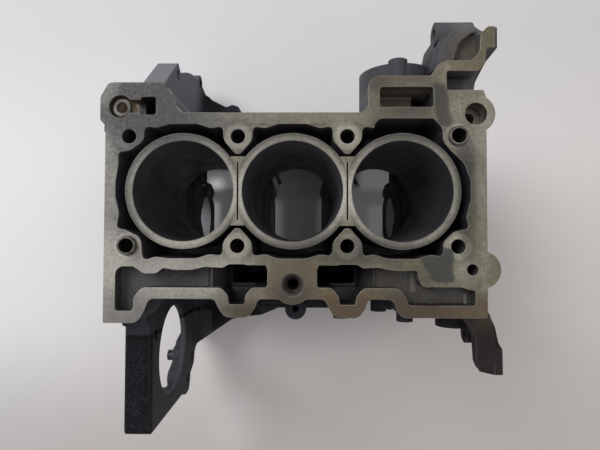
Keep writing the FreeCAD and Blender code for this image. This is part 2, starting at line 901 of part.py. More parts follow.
def timing_recess():
    """Milled recess inside the rim of the timing flange."""
    rim = timing_rim
    y = crank_offset
    outline = [
        (timing_edge + rim + 4, -66, 8),
        (exhaust_edge + 14, -66, 12),
        (exhaust_edge + 26, -104, 20),
        (y + rail_half_width - 4, -150, 20),
        (y + rail_half_width - rim - 4, -sump_depth + 2 * rim, 6),
        (y + cap_half_width + 22, -sump_depth + 2 * rim, 10),
        (y + cap_half_width + 10, crank_z + 16, 20),
        (y, crank_z + seal_bore_radius + 22, 40),
        (y - cap_half_width - 10, crank_z + 16, 20),
        (y - cap_half_width - 22, -sump_depth + 2 * rim, 10),
        (y - rail_half_width + rim + 4, -sump_depth + 2 * rim, 6),
        (timing_edge + rim + 4, -150, 20),
    ]
    hollow = prism_x(outline, timing_face - timing_recess_depth, timing_face + 1)
    bosses = [rod_x(by, bz, timing_boss_radius, timing_face - timing_recess_depth - 1, timing_face + 1)
              for by, bz in timing_bolts()]
    gallery_y, gallery_z = gallery_plug_places()
    bosses.append(rod_x(gallery_y, gallery_z, 13, timing_face - timing_recess_depth - 1, timing_face + 1))
    return hollow.cut(bosses)


def mount_boss_place():
    return exhaust_edge + 64, -18.4


def coolant_chamber():
    """Round chamber cast on the exhaust side, with a small stub on its end."""
    x = housing_column
    solids = [rod_y(x, -housing_depth, housing_radius, bolt_row, housing_face)]
    solids.append(rod_y(stub_column, -stub_depth, stub_radius, exhaust_edge, housing_face + 3))
    return solids


def coolant_spaces():
    """The inside of the chamber and the window above it."""
    x = housing_column
    low = exhaust_edge + 3.8
    high = exhaust_edge + 18.3
    window = [
        (last_column - 55, low, 2.5),
        (last_column - 16.8, low, 2.5),
        (last_column - 16.8, high, 2.5),
        (last_column - 55, high, 2.5),
    ]
    neck = [
        (last_column - 27, low, 0),
        (last_column - 16.8, low, 2.5),
        (last_column - 16.8, high, 2.5),
        (last_column - 27, high, 0),
    ]
    chamber = housing_radius - 3 * housing_wall
    return [
        rod_y(x + 10.5, -housing_depth - 6, chamber, low, housing_face - housing_wall),
        prism_z(window, -housing_depth + 14, 0),
        prism_z(neck, -housing_depth - 6, 0),
    ]


def clutch_pad_spaces():
    """The pocket with a threaded boss in the deck's corner at the clutch end."""
    x, y = first_column - 6.5, exhaust_edge + 4.3
    ring = rod_z(x, y, 8.2, -13, 0).cut(rod_z(x, y, 6.6, -13, -3))
    slot = [(x + 6, y - 4.6, 2), (x + 15, y - 4.6, 1), (x + 15, y + 5, 1), (x + 6, y + 5, 2)]
    deep = [(x + 14.5, y - 6, 1.8), (x + 25.5, y - 6, 1.8), (x + 25.5, y + 7, 1.8), (x + 14.5, y + 7, 1.8)]
    return [
        ring,
        rod_z(x, y, 3.9, -34, 0),
        prism_z(slot, -11, 0),
        prism_z(deep, -62, 0),
    ]


def clutch_pad_body():
    """Column under the clutch end's deck corner, which carries the pocket above."""
    y = exhaust_edge
    outline = [
        (clutch_edge - 4, y - 14, 3),
        (clutch_edge - 4, y + 11.5, 6),
        (clutch_edge + 2, y + 21.8, 5),
        (first_column + 25, y + 21.8, 9),
        (first_column + 31.5, y + 12, 7),
        (first_column + 34, y - 14, 3),
    ]
    return [prism_z(outline, -ear_top_depth - 30, -deck_thickness / 2)]


def intake_bosses():
    """Bolt bosses that stand out of the intake side below the deck."""
    solids = []
    for x, face_row, z, radius in (
        (right_column - 1.5, -95.5, -36, 6.4),
        (right_column + 28.5, -91, -42, 6.2),
        (last_column - 30, -98, -36, 6.4),
    ):
        solids.append(rod_y(x, z, radius, face_row, gallery_row + 12))
    solids.append(rod_z(right_column + 34, -81, 6.5, -70, -24))
    solids.append(rod_z(1.8, -88.4, 8.2, -96, -32))
    solids.append(box((1.8 - 5, -88, -96), (1.8 + 5, gallery_row + 8, -36)))
    bridge_low = gallery_row - 12.6
    solids.append(prism_x([(gallery_row + 8, -44, 0), (bridge_low, -40, 2.5), (bridge_low, -48, 2.5), (gallery_row + 8, -70, 0)],
                          left_column + 8, right_column - 8))
    return solids


def intake_boss_holes():
    return [
        rod_y(right_column - 1.5, -36, 2.6, -100, gallery_row - 4),
        rod_y(right_column + 28.5, -42, 2.6, -100, gallery_row - 2),
        rod_y(last_column - 30, -36, 2.6, -100, gallery_row - 4),
        rod_z(1.8, -88.4, 2.8, -70, -31),
        rod_y(last_column + 8.4, -40, 8.4, -103, -96),
    ]


def core_plug_places():
    """Places (x, z) of the core plugs along the exhaust side's water jacket."""
    return [(x, -44.0) for x in bore_centres[:-1]]


def core_plug_face():
    return exhaust_edge + core_plug_stand_out


def core_plug_seats():
    front = core_plug_face()
    solids, cuts = [], []
    for x, z in core_plug_places():
        solids.append(rod_y(x, z, core_plug_radius + 4.5, bolt_row, front))
        cuts.append(rod_y(x, z, core_plug_radius, front - core_plug_depth, front + 1))
        cuts.append(rod_y(x, z, core_plug_radius - 3, bolt_row + 4, front))
    return solids, cuts


def gallery_plug_places():
    """Ends of the main oil gallery, on the intake side above the bearings."""
    return crank_offset - case_half_width + 13, -case_side_depth - 18


def oil_gallery():
    y, z = gallery_plug_places()
    solids = [rod_x(y, z, 13, clutch_edge, timing_inner)]
    gallery = rod_x(y, z, 4.5, clutch_edge - 1, timing_inner + 1)
    cuts = [gallery]
    cuts.append(rod_x(y, z, gallery_plug_radius, clutch_edge - 1, clutch_edge + gallery_plug_length))
    cuts.append(rod_x(y, z, gallery_plug_radius, timing_face - gallery_plug_length, timing_face + 1))
    return solids, cuts


def rail_bolt_places():
    span = last_column - first_column + 20
    step = span / (rail_bolts_each_side - 1)
    xs = [first_column - 8 + i * step for i in range(rail_bolts_each_side)]
    side = (rail_half_width + case_half_width) / 2 + 0.5
    return [(x, crank_offset + sign * side) for x in xs for sign in (-1, 1)]


def cap_bolt_places():
    return [(x, crank_offset + sign * cap_bolt_offset) for x in bolt_columns for sign in (-1, 1)]


def jet_place(x):
    """Foot of a piston cooling jet: on the chamber's roof beside its bore, exhaust side."""
    return x - 22.5, jet_row + 9, -bore_length


def machined_spaces():
    """Every bore, drilled hole and milled seat of the casting."""
    cuts = []
    for x in bore_centres:
        cuts.append(rod_z(x, 0, bore_radius, -bore_length - 3, 1))
        cuts.append(Part.makeCone(bore_radius + 1.2, bore_radius, 2.4, vector(x, 0, -bore_length - 0.01)))
    for x in bolt_columns[1:-1]:
        low = (x - slit_width / 2, -slit_half_length, -slit_depth)
        high = (x + slit_width / 2, slit_half_length, 1)
        cuts.append(box(low, high))
    for x in bolt_columns:
        for y in (-bolt_row, bolt_row):
            cuts.append(rod_z(x, y, head_bolt_radius, -head_bolt_depth, 1))
            cuts.append(rod_z(x, y, head_thread_radius, -head_thread_depth, 0))
    for x, y in dowel_places():
        cuts.append(rod_z(x, y, dowel_radius + press_clearance, dowel_stand_out - dowel_length, 1))
    x, y = pump_boss_place()
    cuts += [rod_z(x, y, 7.9, -15, 1), rod_z(x, y, 4.2, -39, 0)]
    x, y = drain_boss_place()
    cuts.append(rod_z(x - 6.7, y, 4, -60, 1))
    x, y = oil_feed_place()
    cuts += [rod_z(x, y, 8.2, -2.6, 1), Part.makeCone(4.3, 7, 5, vector(x, y, -7.5)), rod_z(x, y, 4.3, -70, 0)]
    cuts.append(rod_x(crank_offset, crank_z, main_bore_radius, clutch_face - 1, timing_face + 1))
    cuts.append(rod_x(crank_offset, crank_z, seal_bore_radius, last_column + bulkhead_half_width, timing_face + 1))
    cuts.append(rod_x(crank_offset, crank_z, seal_bore_radius + 10, clutch_face - 1, first_column - bulkhead_half_width))
    for low_x, high_x in (
        (clutch_face - 1, first_column - bulkhead_half_width),
        (last_column + bulkhead_half_width, timing_face + 1),
    ):
        half = seal_bore_radius + 10
        cuts.append(box((low_x, crank_offset - half, -sump_depth - 1), (high_x, crank_offset + half, crank_z)))
    for x, y in cap_bolt_places():
        cuts.append(rod_z(x, y, cap_bolt_radius + thread_clearance, crank_z - 1, crank_z + cap_bolt_thread_length))
    for x, y in rail_bolt_places():
        cuts.append(rod_z(x, y, rail_bolt_radius, -sump_depth - 1, -sump_depth + rail_bolt_depth))
    for x in bore_centres:
        foot_x, foot_y, top = jet_place(x)
        cuts.append(rod_z(foot_x, foot_y, jet_bolt_radius + thread_clearance, top - 1, top + jet_bolt_reach + 1))
    for y, z in clutch_bolts():
        cuts.append(rod_x(y, z, clutch_bolt_radius, clutch_face - 1, clutch_inner + 1))
    for y, z in timing_bolts():
        cuts.append(rod_x(y, z, timing_bolt_radius, timing_face - 16, timing_face + 1))
    y, z = mount_boss_place()
    cuts.append(rod_x(y, z, 3.9, last_column - 12, last_column + 22))
    for y, z in clutch_dowel_places():
        radius = clutch_dowel_radius + press_clearance
        cuts.append(rod_x(y, z, radius, clutch_face - 1, clutch_dowel_inner()))
    return cuts


def clutch_dowel_places():
    """Two of the clutch housing's bolt bosses also hold its ring dowels."""
    places = clutch_bolts()
    return [places[2], places[3]]


def clutch_dowel_inner():
    return clutch_face + clutch_dowel_length - clutch_dowel_stand_out


def cylinder_block():
    """The whole casting with its machining."""
    walls, duct_spaces = oil_ducts()
    plug_solids, plug_cuts = core_plug_seats()
    gallery_solids, gallery_cuts = oil_gallery()
    solids = upper_body() + walls + crankcase() + [clutch_flange()] + gussets()
    solids += timing_end_body() + coolant_chamber() + clutch_pad_body() + intake_bosses()
    solids += plug_solids + gallery_solids
    body = solids[0].multiFuse(solids[1:])
    body = body.cut(water_jacket())
    for cuts in (
        duct_spaces,
        pocket_spaces(),
        coolant_spaces(),
        clutch_pad_spaces(),
        crank_chambers(),
        intake_boss_holes(),
        plug_cuts,
        gallery_cuts,
        [timing_recess()],
        machined_spaces(),
    ):
        body = body.cut(cuts)
    return body


def bearing_cap(x):
    """One main bearing cap, with a round pad under each of its bolts."""
    y, z = crank_offset, crank_z
    half = cap_half_width - cap_side_clearance
    profile = [
        (y - half, z, 0),
        (y - half, z - cap_side_height, 3),
        (y - cap_bolt_offset + 6, z - cap_side_height, 3),
        (y - cap_bolt_offset + 14, z - cap_height, 6),
        (y + cap_bolt_offset - 14, z - cap_height, 6),
        (y + cap_bolt_offset - 6, z - cap_side_height, 3),
        (y + half, z - cap_side_height, 3),
        (y + half, z, 0),
    ]
    thick = bulkhead_half_width
    cap = prism_x(profile, x - thick, x + thick)
    keep = box((x - 30, y - half, z - cap_height - 1), (x + 30, y + half, z))
    for sign in (-1, 1):
        pad = rod_z(x, y + sign * cap_bolt_offset, cap_pad_radius, z - cap_side_height, z - 8)
        cap = cap.fuse(pad.common(keep))
    cap = cap.cut(rod_x(y, z, main_bore_radius, x - 40, x + 40))
    for sign in (-1, 1):
        column = y + sign * cap_bolt_offset
        seat_radius = cap_bolt_flange_radius + cap_seat_clearance
        cap = cap.cut(rod_z(x, column, seat_radius, z - cap_height - 1, z - cap_side_height))
        radius = cap_bolt_radius + cap_bolt_clearance
        cap = cap.cut(rod_z(x, column, radius, z - cap_height - 1, z + 1))
    return cap.removeSplitter()


def hexagon(radius, place, direction):
    """Regular hexagon of that corner radius, as a face across direction."""
    points = []
    side = direction.cross(vector(0.3, 0.5, 0.81))
    side.normalize()
    other = direction.cross(side)
    for i in range(7):
        angle = math.radians(60 * i)
        points.append(place + side * (radius * math.cos(angle)) + other * (radius * math.sin(angle)))
    return Part.Face(Part.makePolygon(points))


def cap_bolt(x, y):
    """Flanged hexagon bolt that holds a main bearing cap."""
    seat = crank_z - cap_side_height
    up = vector(0, 0, 1)
    shank = rod_z(x, y, cap_bolt_radius, seat - 1, crank_z + cap_bolt_thread_length - 4)
    washer = rod_z(x, y, cap_bolt_flange_radius, seat - 2, seat)
    head = hexagon(cap_bolt_head_radius, vector(x, y, seat - cap_bolt_head_height), up)
    head = head.extrude(up * (cap_bolt_head_height - 1))
    return shank.multiFuse([washer, head]).removeSplitter()


def ring_dowel(foot, up, radius, wall, buried, stand_out):
    """Ring pressed into its seat below foot. Above it the ring is a sliding size, with a chamfered end."""
    slide_radius = radius - dowel_slide
    pilot = stand_out - dowel_chamfer
    ring = Part.makeCylinder(radius, buried, foot - up * buried, up)
    ring = ring.fuse(Part.makeCylinder(slide_radius, pilot, foot, up))
    ring = ring.fuse(Part.makeCone(slide_radius, slide_radius - dowel_chamfer, dowel_chamfer, foot + up * pilot, up))
    drilling = Part.makeCylinder(radius - wall, buried + stand_out + 2, foot - up * (buried + 1), up)
    return ring.cut(drilling).removeSplitter()


def ring_dowel_z(x, y):
    buried = dowel_length - dowel_stand_out
    return ring_dowel(vector(x, y, 0), vector(0, 0, 1), dowel_radius, dowel_wall, buried, dowel_stand_out)


def ring_dowel_x(y, z):
    foot = vector(clutch_face, y, z)
    buried = clutch_dowel_inner() - clutch_face
    outward = vector(-1, 0, 0)
    return ring_dowel(foot, outward, clutch_dowel_radius, clutch_dowel_wall, buried, clutch_dowel_stand_out)


def cooling_jet(x):
    """Body and bent spray tube of one piston cooling jet, hung from the chamber's roof."""
    foot_x, foot_y, top = jet_place(x)
    body = rod_z(foot_x, foot_y, jet_body_radius, top - jet_body_length, top)
    level = top - jet_body_length / 2
    bend = jet_bend_radius
    out = 16.0
    rise = top + jet_tip_height - level
    start = vector(foot_x, foot_y, level)
    turn = vector(foot_x + 0.42 * out, foot_y - out, level)
    along = turn - start
    along.normalize()
    up = vector(0, 0, 1)
    corner_in = turn - along * bend
    corner_out = turn + up * bend
    middle = turn + (up - along) * (bend - bend / math.sqrt(2))
    spine = Part.Wire([
        Part.LineSegment(start, corner_in).toShape(),
        Part.Arc(corner_in, middle, corner_out).toShape(),
        Part.LineSegment(corner_out, turn + up * rise).toShape(),
    ])
    section = Part.Wire([Part.makeCircle(jet_tube_radius, start, along)])
    tube = spine.makePipeShell([section], True, True)
    jet = body.fuse(tube)
    return jet.cut(rod_z(foot_x, foot_y, jet_bolt_radius + thread_clearance, top - jet_body_length - 1, top + 1)).removeSplitter()


def jet_bolt(x):
    """Hollow bolt that holds a jet's body to the roof."""
    foot_x, foot_y, top = jet_place(x)
    up = vector(0, 0, 1)
    low = top - jet_body_length
    shank = rod_z(foot_x, foot_y, jet_bolt_radius, low - 1, top + jet_bolt_reach)
    head = hexagon(jet_bolt_head_radius, vector(foot_x, foot_y, low - jet_bolt_head_height), up)
    return shank.fuse(head.extrude(up * jet_bolt_head_height)).removeSplitter()


def core_plug(x, z):
    """Pressed steel cup, open side out."""
    front = core_plug_face()
    low = front - core_plug_depth
    radius = core_plug_radius - press_clearance
    cup = rod_y(x, z, radius, low, front - 0.6)
    return cup.cut(rod_y(x, z, radius - core_plug_wall, low + core_plug_wall, front + 1))


def gallery_plug(end):
    """Socket plug in one end of the main oil gallery."""
    y, z = gallery_plug_places()
    out = vector(end, 0, 0)
    face_x = clutch_edge if end < 0 else timing_face
    mouth = face_x - end * gallery_plug_head
    seat = face_x - end * gallery_plug_length
    low, high = min(mouth, seat), max(mouth, seat)
    plug = rod_x(y, z, gallery_plug_radius - press_clearance, low, high)
    socket = hexagon(gallery_plug_hex, vector(mouth - end * 4, y, z), out).extrude(out * 6)
    return plug.cut(socket)


def nodes():
    """Every sub-part by its name."""
    made = {"cylinder_block": cylinder_block()}
    for i, x in enumerate(bolt_columns):
        made[f"main_bearing_cap_{i + 1}"] = bearing_cap(x)
        made[f"main_cap_bolt_{i + 1}_intake"] = cap_bolt(x, crank_offset - cap_bolt_offset)
        made[f"main_cap_bolt_{i + 1}_exhaust"] = cap_bolt(x, crank_offset + cap_bolt_offset)
    for i, x in enumerate(bore_centres):
        made[f"piston_cooling_jet_{i + 1}"] = cooling_jet(x)
        made[f"cooling_jet_bolt_{i + 1}"] = jet_bolt(x)
    for name, (x, y) in zip(("intake", "exhaust"), dowel_places()):
        made[f"head_dowel_{name}"] = ring_dowel_z(x, y)
    for name, (y, z) in zip(("intake", "exhaust"), clutch_dowel_places()):
        made[f"clutch_housing_dowel_{name}"] = ring_dowel_x(y, z)
    for i, (x, z) in enumerate(core_plug_places()):
        made[f"core_plug_{i + 1}"] = core_plug(x, z)
    made["oil_gallery_plug_clutch_end"] = gallery_plug(-1)
    made["oil_gallery_plug_timing_end"] = gallery_plug(1)
    return made


os.makedirs("parts", exist_ok=True)
for name, shape in nodes().items():
    print(name, "valid" if shape.isValid() else "NOT VALID", len(shape.Solids), "solids", round(shape.Volume / 1000, 2), "cm3")
    shape.exportStep(f"parts/{name}.step")
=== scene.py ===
import bpy
import math
import numpy as np
from mathutils import Matrix, Vector
from mathutils.bvhtree import BVHTree


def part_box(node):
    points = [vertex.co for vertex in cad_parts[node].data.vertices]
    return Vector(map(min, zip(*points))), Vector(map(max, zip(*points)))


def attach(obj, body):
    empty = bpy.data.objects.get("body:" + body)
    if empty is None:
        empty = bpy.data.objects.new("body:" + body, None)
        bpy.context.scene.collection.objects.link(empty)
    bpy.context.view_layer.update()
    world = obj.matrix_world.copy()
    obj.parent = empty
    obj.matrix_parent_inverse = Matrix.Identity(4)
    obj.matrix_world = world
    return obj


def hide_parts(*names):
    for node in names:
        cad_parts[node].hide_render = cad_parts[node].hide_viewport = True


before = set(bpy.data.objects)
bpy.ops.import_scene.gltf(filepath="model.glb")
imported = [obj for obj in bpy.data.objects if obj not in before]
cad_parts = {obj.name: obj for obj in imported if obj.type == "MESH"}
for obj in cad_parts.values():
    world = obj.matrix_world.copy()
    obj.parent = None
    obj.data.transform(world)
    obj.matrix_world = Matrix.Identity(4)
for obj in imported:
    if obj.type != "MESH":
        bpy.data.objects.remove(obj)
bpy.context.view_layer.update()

blockLow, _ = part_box("cylinder_block")
mm = 0.001

# Where the casting's own features lie, in metres, with the origin in the deck over the middle bore
casting = {
    "borePitch": 78 * mm,
    "boreRadius": 35.95 * mm,
    "linerRadius": 41.35 * mm,
    "boreLength": 131.6 * mm,
    "boltRow": 39 * mm,
    "boltRadius": 5.2 * mm,
    "crankRow": -10 * mm,
    "crankHeight": -207 * mm,
    "mainBore": 24 * mm,
    "clutchFace": -138 * mm,
    "timingFace": 149.5 * mm,
    "faceSlack": 0.25 * mm,
}


def srgb(red, green, blue):
    # colours are written as they look on screen, from 0 to 255
    parts = []
    for value in (red, green, blue):
        level = value / 255
        parts.append(level / 12.92 if level <= 0.04045 else ((level + 0.055) / 1.055) ** 2.4)
    return (*parts, 1)


class Wire:
    # one socket of a material, so that an expression adds its Math nodes
    def __init__(self, sheet, socket):
        self.sheet = sheet
        self.socket = socket

    def maths(self, operation, *values):
        inputs = dict(enumerate(values))
        return self.sheet.node("ShaderNodeMath", {"operation": operation}, inputs)

    def __add__(self, other):
        return self.maths("ADD", self, other)

    def __radd__(self, other):
        return self.maths("ADD", other, self)

    def __sub__(self, other):
        return self.maths("SUBTRACT", self, other)

    def __rsub__(self, other):
        return self.maths("SUBTRACT", other, self)

    def __mul__(self, other):
        return self.maths("MULTIPLY", self, other)

    def __rmul__(self, other):
        return self.maths("MULTIPLY", other, self)

    def __truediv__(self, other):
        return self.maths("DIVIDE", self, other)

    def __rtruediv__(self, other):
        return self.maths("DIVIDE", other, self)

    def __abs__(self):
        return self.maths("ABSOLUTE", self)

    def root(self):
        return self.maths("SQRT", self)

    def rounded(self):
        return self.maths("ROUND", self)

    def sine(self):
        return self.maths("SINE", self)

    def larger(self, other):
        return self.maths("MAXIMUM", self, other)

    def smaller(self, other):
        return self.maths("MINIMUM", self, other)

    def ramp(self, start, end, low=0, high=1):
        # a soft step from low at start to high at end
        settings = {"interpolation_type": "SMOOTHSTEP"}
        inputs = {"Value": self, "From Min": start, "From Max": end, "To Min": low, "To Max": high}
        if start > end:
            inputs.update({"From Min": end, "From Max": start, "To Min": high, "To Max": low})
        return self.sheet.node("ShaderNodeMapRange", settings, inputs)

    def band(self, start, full, fade, end):
        # 1 between full and fade, and 0 before start and after end
        return self.ramp(start, full) * self.ramp(end, fade)


class Finish:
    # one material with a principled shader, and the few helpers that every finish here uses
    def __init__(self, name):
        self.material = bpy.data.materials.new(name)
        self.material.use_nodes = True
        self.tree = self.material.node_tree
        self.tree.nodes.clear()
        self.place = self.node("ShaderNodeTexCoord", {}, {}, "Object")

    def node(self, kind, settings, inputs, output=0):
        made = self.tree.nodes.new(kind)
        for name, value in settings.items():
            setattr(made, name, value)
        for name, value in inputs.items():
            if isinstance(value, Wire):
                self.tree.links.new(value.socket, made.inputs[name])
            else:
                made.inputs[name].default_value = value
        return Wire(self, made.outputs[output])

    def axes(self):
        split = {"Vector": self.place}
        return [self.node("ShaderNodeSeparateXYZ", {}, split, axis) for axis in ("X", "Y", "Z")]

    def stretched(self, scale):
        inputs = {0: self.place, 1: scale}
        return self.node("ShaderNodeVectorMath", {"operation": "MULTIPLY"}, inputs)

    def noise(self, size, detail=3, roughness=0.55, place=None):
        # size is the width of one blotch in metres
        inputs = {"Vector": place or self.place, "Scale": 1 / size, "Detail": detail, "Roughness": roughness}
        return self.node("ShaderNodeTexNoise", {}, inputs)

    def specks(self, size, feature="F1"):
        inputs = {"Vector": self.place, "Scale": 1 / size}
        return self.node("ShaderNodeTexVoronoi", {"feature": feature}, inputs, "Distance")

    def mix(self, factor, first, second):
        return self.node("ShaderNodeMix", {"data_type": "RGBA"}, {0: factor, 6: first, 7: second}, 2)

    def softEdges(self, radius):
        return self.node("ShaderNodeBevel", {"samples": 6}, {"Radius": radius})

    def edgeMask(self, softNormal, reach):
        # 1 where the softened normal leaves the flat face's own, along the edges
        flat = self.node("ShaderNodeNewGeometry", {}, {}, "True Normal")
        inputs = {0: softNormal, 1: flat}
        facing = self.node("ShaderNodeVectorMath", {"operation": "DOT_PRODUCT"}, inputs, "Value")
        return facing.ramp(1 - 0.02 * reach, 1 - reach)

    def bump(self, height, distance, strength, normal=None):
        inputs = {"Height": height, "Distance": distance, "Strength": strength}
        if normal:
            inputs["Normal"] = normal
        return self.node("ShaderNodeBump", {}, inputs)

    def shade(self, colour, roughness, normal=None, metallic=0, **fixed):
        inputs = {"Base Color": colour, "Roughness": roughness, "Metallic": metallic}
        if normal:
            inputs["Normal"] = normal
        inputs.update(fixed)
        shader = self.node("ShaderNodeBsdfPrincipled", {}, inputs)
        output = self.tree.nodes.new("ShaderNodeOutputMaterial")
        self.tree.links.new(shader.socket, output.inputs["Surface"])
        return self.material

    def patch(self, place, centre, reach, soft):
        # 1 inside an ellipse on the deck, in millimetres
        scale = (1 / (reach[0] * mm), 1 / (reach[1] * mm), 0)
        shift = (-centre[0] / reach[0], -centre[1] / reach[1], 0)
        inputs = {0: place, 1: scale, 2: shift}
        local = self.node("ShaderNodeVectorMath", {"operation": "MULTIPLY_ADD"}, inputs)
        distance = self.node("ShaderNodeVectorMath", {"operation": "LENGTH"}, {0: local}, "Value")
        return distance.ramp(1 + soft, 1 - soft)

    def zone(self, axes, columns, rows, soft):
        # 1 inside an upright rectangle over the deck, in millimetres, fading over soft
        masks = []
        for axis, (low, high) in zip(axes, (columns, rows)):
            edges = (low - soft, low + soft, high - soft, high + soft)
            masks.append(axis.band(*(edge * mm for edge in edges)))
        return masks[0] * masks[1]


# The camera stands over the deck, a little to the timing end and the intake side
cameraSettings = {
    "place": (9.3536 * mm, -32.5920 * mm, 311.2126 * mm),
    "lens": 26.4,
    "sensor": 36,
    "turn": ((0.999917, -0.002799, 0.012575), (0.00314, 0.999624, -0.027223), (-0.012494, 0.02726, 0.99955)),
}


def makeCamera():
    lens = bpy.data.cameras.new("deckCamera")
    lens.lens = cameraSettings["lens"]
    lens.sensor_width = cameraSettings["sensor"]
    camera = bpy.data.objects.new("deckCamera", lens)
    bpy.context.collection.objects.link(camera)
    place = Matrix(cameraSettings["turn"]).to_4x4()
    place.translation = cameraSettings["place"]
    camera.matrix_world = place
    bpy.context.scene.camera = camera


makeCamera()
print("camera over the deck")

lightSettings = {
    "skyColour": srgb(246, 248, 255),
    "skyStrength": 0.55,
    "backgroundColour": srgb(218, 218, 220),
    "aim": (0, 0, -0.1),
    "lamps": {
        "windowLight": {"place": (-1.7, 1.3, 2.3), "size": 1.7, "power": 78, "colour": (0.94, 0.97, 1)},
        "ceilingLight": {"place": (0.5, 0.1, 1.9), "size": 1.2, "power": 7, "colour": (1, 0.97, 0.92)},
    },
}


def makeSky():
    # the sky lights the scene, and the camera sees a plain background instead of it
    world = bpy.data.worlds.new("studioSky")
    bpy.context.scene.world = world
    world.use_nodes = True
    tree = world.node_tree
    tree.nodes.clear()
    lit = tree.nodes.new("ShaderNodeBackground")
    lit.inputs["Color"].default_value = lightSettings["skyColour"]
    lit.inputs["Strength"].default_value = lightSettings["skyStrength"]
    seen = tree.nodes.new("ShaderNodeBackground")
    seen.inputs["Color"].default_value = lightSettings["backgroundColour"]
    path = tree.nodes.new("ShaderNodeLightPath")
    blend = tree.nodes.new("ShaderNodeMixShader")
    output = tree.nodes.new("ShaderNodeOutputWorld")
    tree.links.new(path.outputs["Is Camera Ray"], blend.inputs["Fac"])
    tree.links.new(lit.outputs[0], blend.inputs[1])
    tree.links.new(seen.outputs[0], blend.inputs[2])
    tree.links.new(blend.outputs[0], output.inputs["Surface"])


def makeLamps():
    for name, lamp in lightSettings["lamps"].items():
        panel = bpy.data.lights.new(name, "AREA")
        panel.size = lamp["size"]
        panel.energy = lamp["power"]
        panel.color = lamp["colour"]
        holder = bpy.data.objects.new(name, panel)
        bpy.context.collection.objects.link(holder)
        holder.location = lamp["place"]
        aim = Vector(lightSettings["aim"]) - Vector(lamp["place"])
        holder.rotation_euler = aim.to_track_quat("-Z", "Y").to_euler()


makeSky()
makeLamps()
print("sky and lamps")

floorSettings = {
    "halfWidth": 3.0,
    "pale": srgb(218, 215, 214),
    "shaded": srgb(200, 192, 185),
    # painted shade: the floor greys along this slant, between these distances in metres
    "slant": 0.55,
    "greying": (-0.32, 0.42),
    "cloud": srgb(160, 160, 160),
    "cloudSize": 0.3,
    "cloudStrength": 0.12,
    "cloudBase": 0.03,
    # painted shade: how black is mixed in along each axis: from and to in metres, and the shares there
    "dark": (0, 0, 0, 1),
    "exhaustSide": (0.05, 0.27, 0, 0.15),
    "intakeSide": (-0.12, -0.31),
    "intakeEnds": (-0.38, 0.3, 0.29, 0.19),
    "roughness": 0.9,
    # painted light that lightens the block's shadow on the intake side: columns, rows and edge softness in
    # millimetres
    "shadowLiftTone": srgb(244, 240, 238),
    "shadowLifts": (((-80, 130), (-205, -150), 35), ((-100, -50), (-300, -225), 28)),
    "shadowLiftStrength": 0.17,
    # painted glow, seen only by the camera, that stands in for light getting in beneath the crankcase:
    # columns, rows, edge softness and level
    "glow": (0.95, 0.97, 1, 1),
    "glimmers": (
        ((-126, -78), (30, 54), 4, 0.1),
        ((-116, -98), (30, 42), 8, 0.28),
        ((-125, -45), (-20, 30), 8, 0.04),
        ((-125, -102), (-40, 12), 6, 0.15),
        ((-40, 50), (-60, 66), 8, 0.008),
        ((-40, 50), (-60, 16), 8, 0.006),
        ((-45, -22), (-50, 14), 8, 0.07),
        ((26, 50), (-50, 14), 8, 0.05),
        ((78, 125), (30, 66), 8, 0.1),
        ((66, 125), (-30, 30), 8, 0.05),
        ((90, 125), (-45, 8), 6, 0.045),
    ),
}


def floorTone(finish, x, y):
    # a pale floor with painted shade: it greys towards the intake side and the timing end and darkens again
    # on the exhaust side and the intake side, for the lamps' fall-off and the block's shadow; painted light
    # then brightens that shadow on the intake side
    shadeFalloff = (y * -1 + x * floorSettings["slant"]).ramp(*floorSettings["greying"])
    tone = finish.mix(shadeFalloff, floorSettings["pale"], floorSettings["shaded"])
    cloud = (finish.noise(floorSettings["cloudSize"], 2) - 0.5) * floorSettings["cloudStrength"]
    tone = finish.mix(cloud + floorSettings["cloudBase"], tone, floorSettings["cloud"])
    # painted shade: black mixed in on the exhaust side and the intake side
    far = y.ramp(*floorSettings["exhaustSide"])
    near = y.ramp(*floorSettings["intakeSide"]) * x.ramp(*floorSettings["intakeEnds"])
    tone = finish.mix(far + near, tone, floorSettings["dark"])
    # painted light over the block's shadow on the intake side
    shadowLift = 0
    for columns, rows, soft in floorSettings["shadowLifts"]:
        shadowLift = finish.zone((x, y), columns, rows, soft) + shadowLift
    return finish.mix(shadowLift * floorSettings["shadowLiftStrength"], tone, floorSettings["shadowLiftTone"])


def floorFinish():
    finish = Finish("paleFloor")
    x, y, _ = finish.axes()
    # painted glow seen only by the camera, on the floor beneath the crankcase
    lit = 0
    for columns, rows, soft, level in floorSettings["glimmers"]:
        lit = finish.zone((x, y), columns, rows, soft) * level + lit
    seen = finish.node("ShaderNodeLightPath", {}, {}, "Is Camera Ray")
    glow = finish.mix(lit * seen, floorSettings["dark"], floorSettings["glow"])
    emission = {"Emission Color": glow, "Emission Strength": 1}
    return finish.shade(floorTone(finish, x, y), floorSettings["roughness"], **emission)


def makeFloor():
    reach = floorSettings["halfWidth"]
    sides = ((-reach, -reach), (reach, -reach), (reach, reach), (-reach, reach))
    mesh = bpy.data.meshes.new("floor")
    mesh.from_pydata([(x, y, blockLow.z) for x, y in sides], [], [(0, 1, 2, 3)])
    floor = bpy.data.objects.new("floor", mesh)
    bpy.context.collection.objects.link(floor)
    mesh.materials.append(floorFinish())


makeFloor()
print("floor")

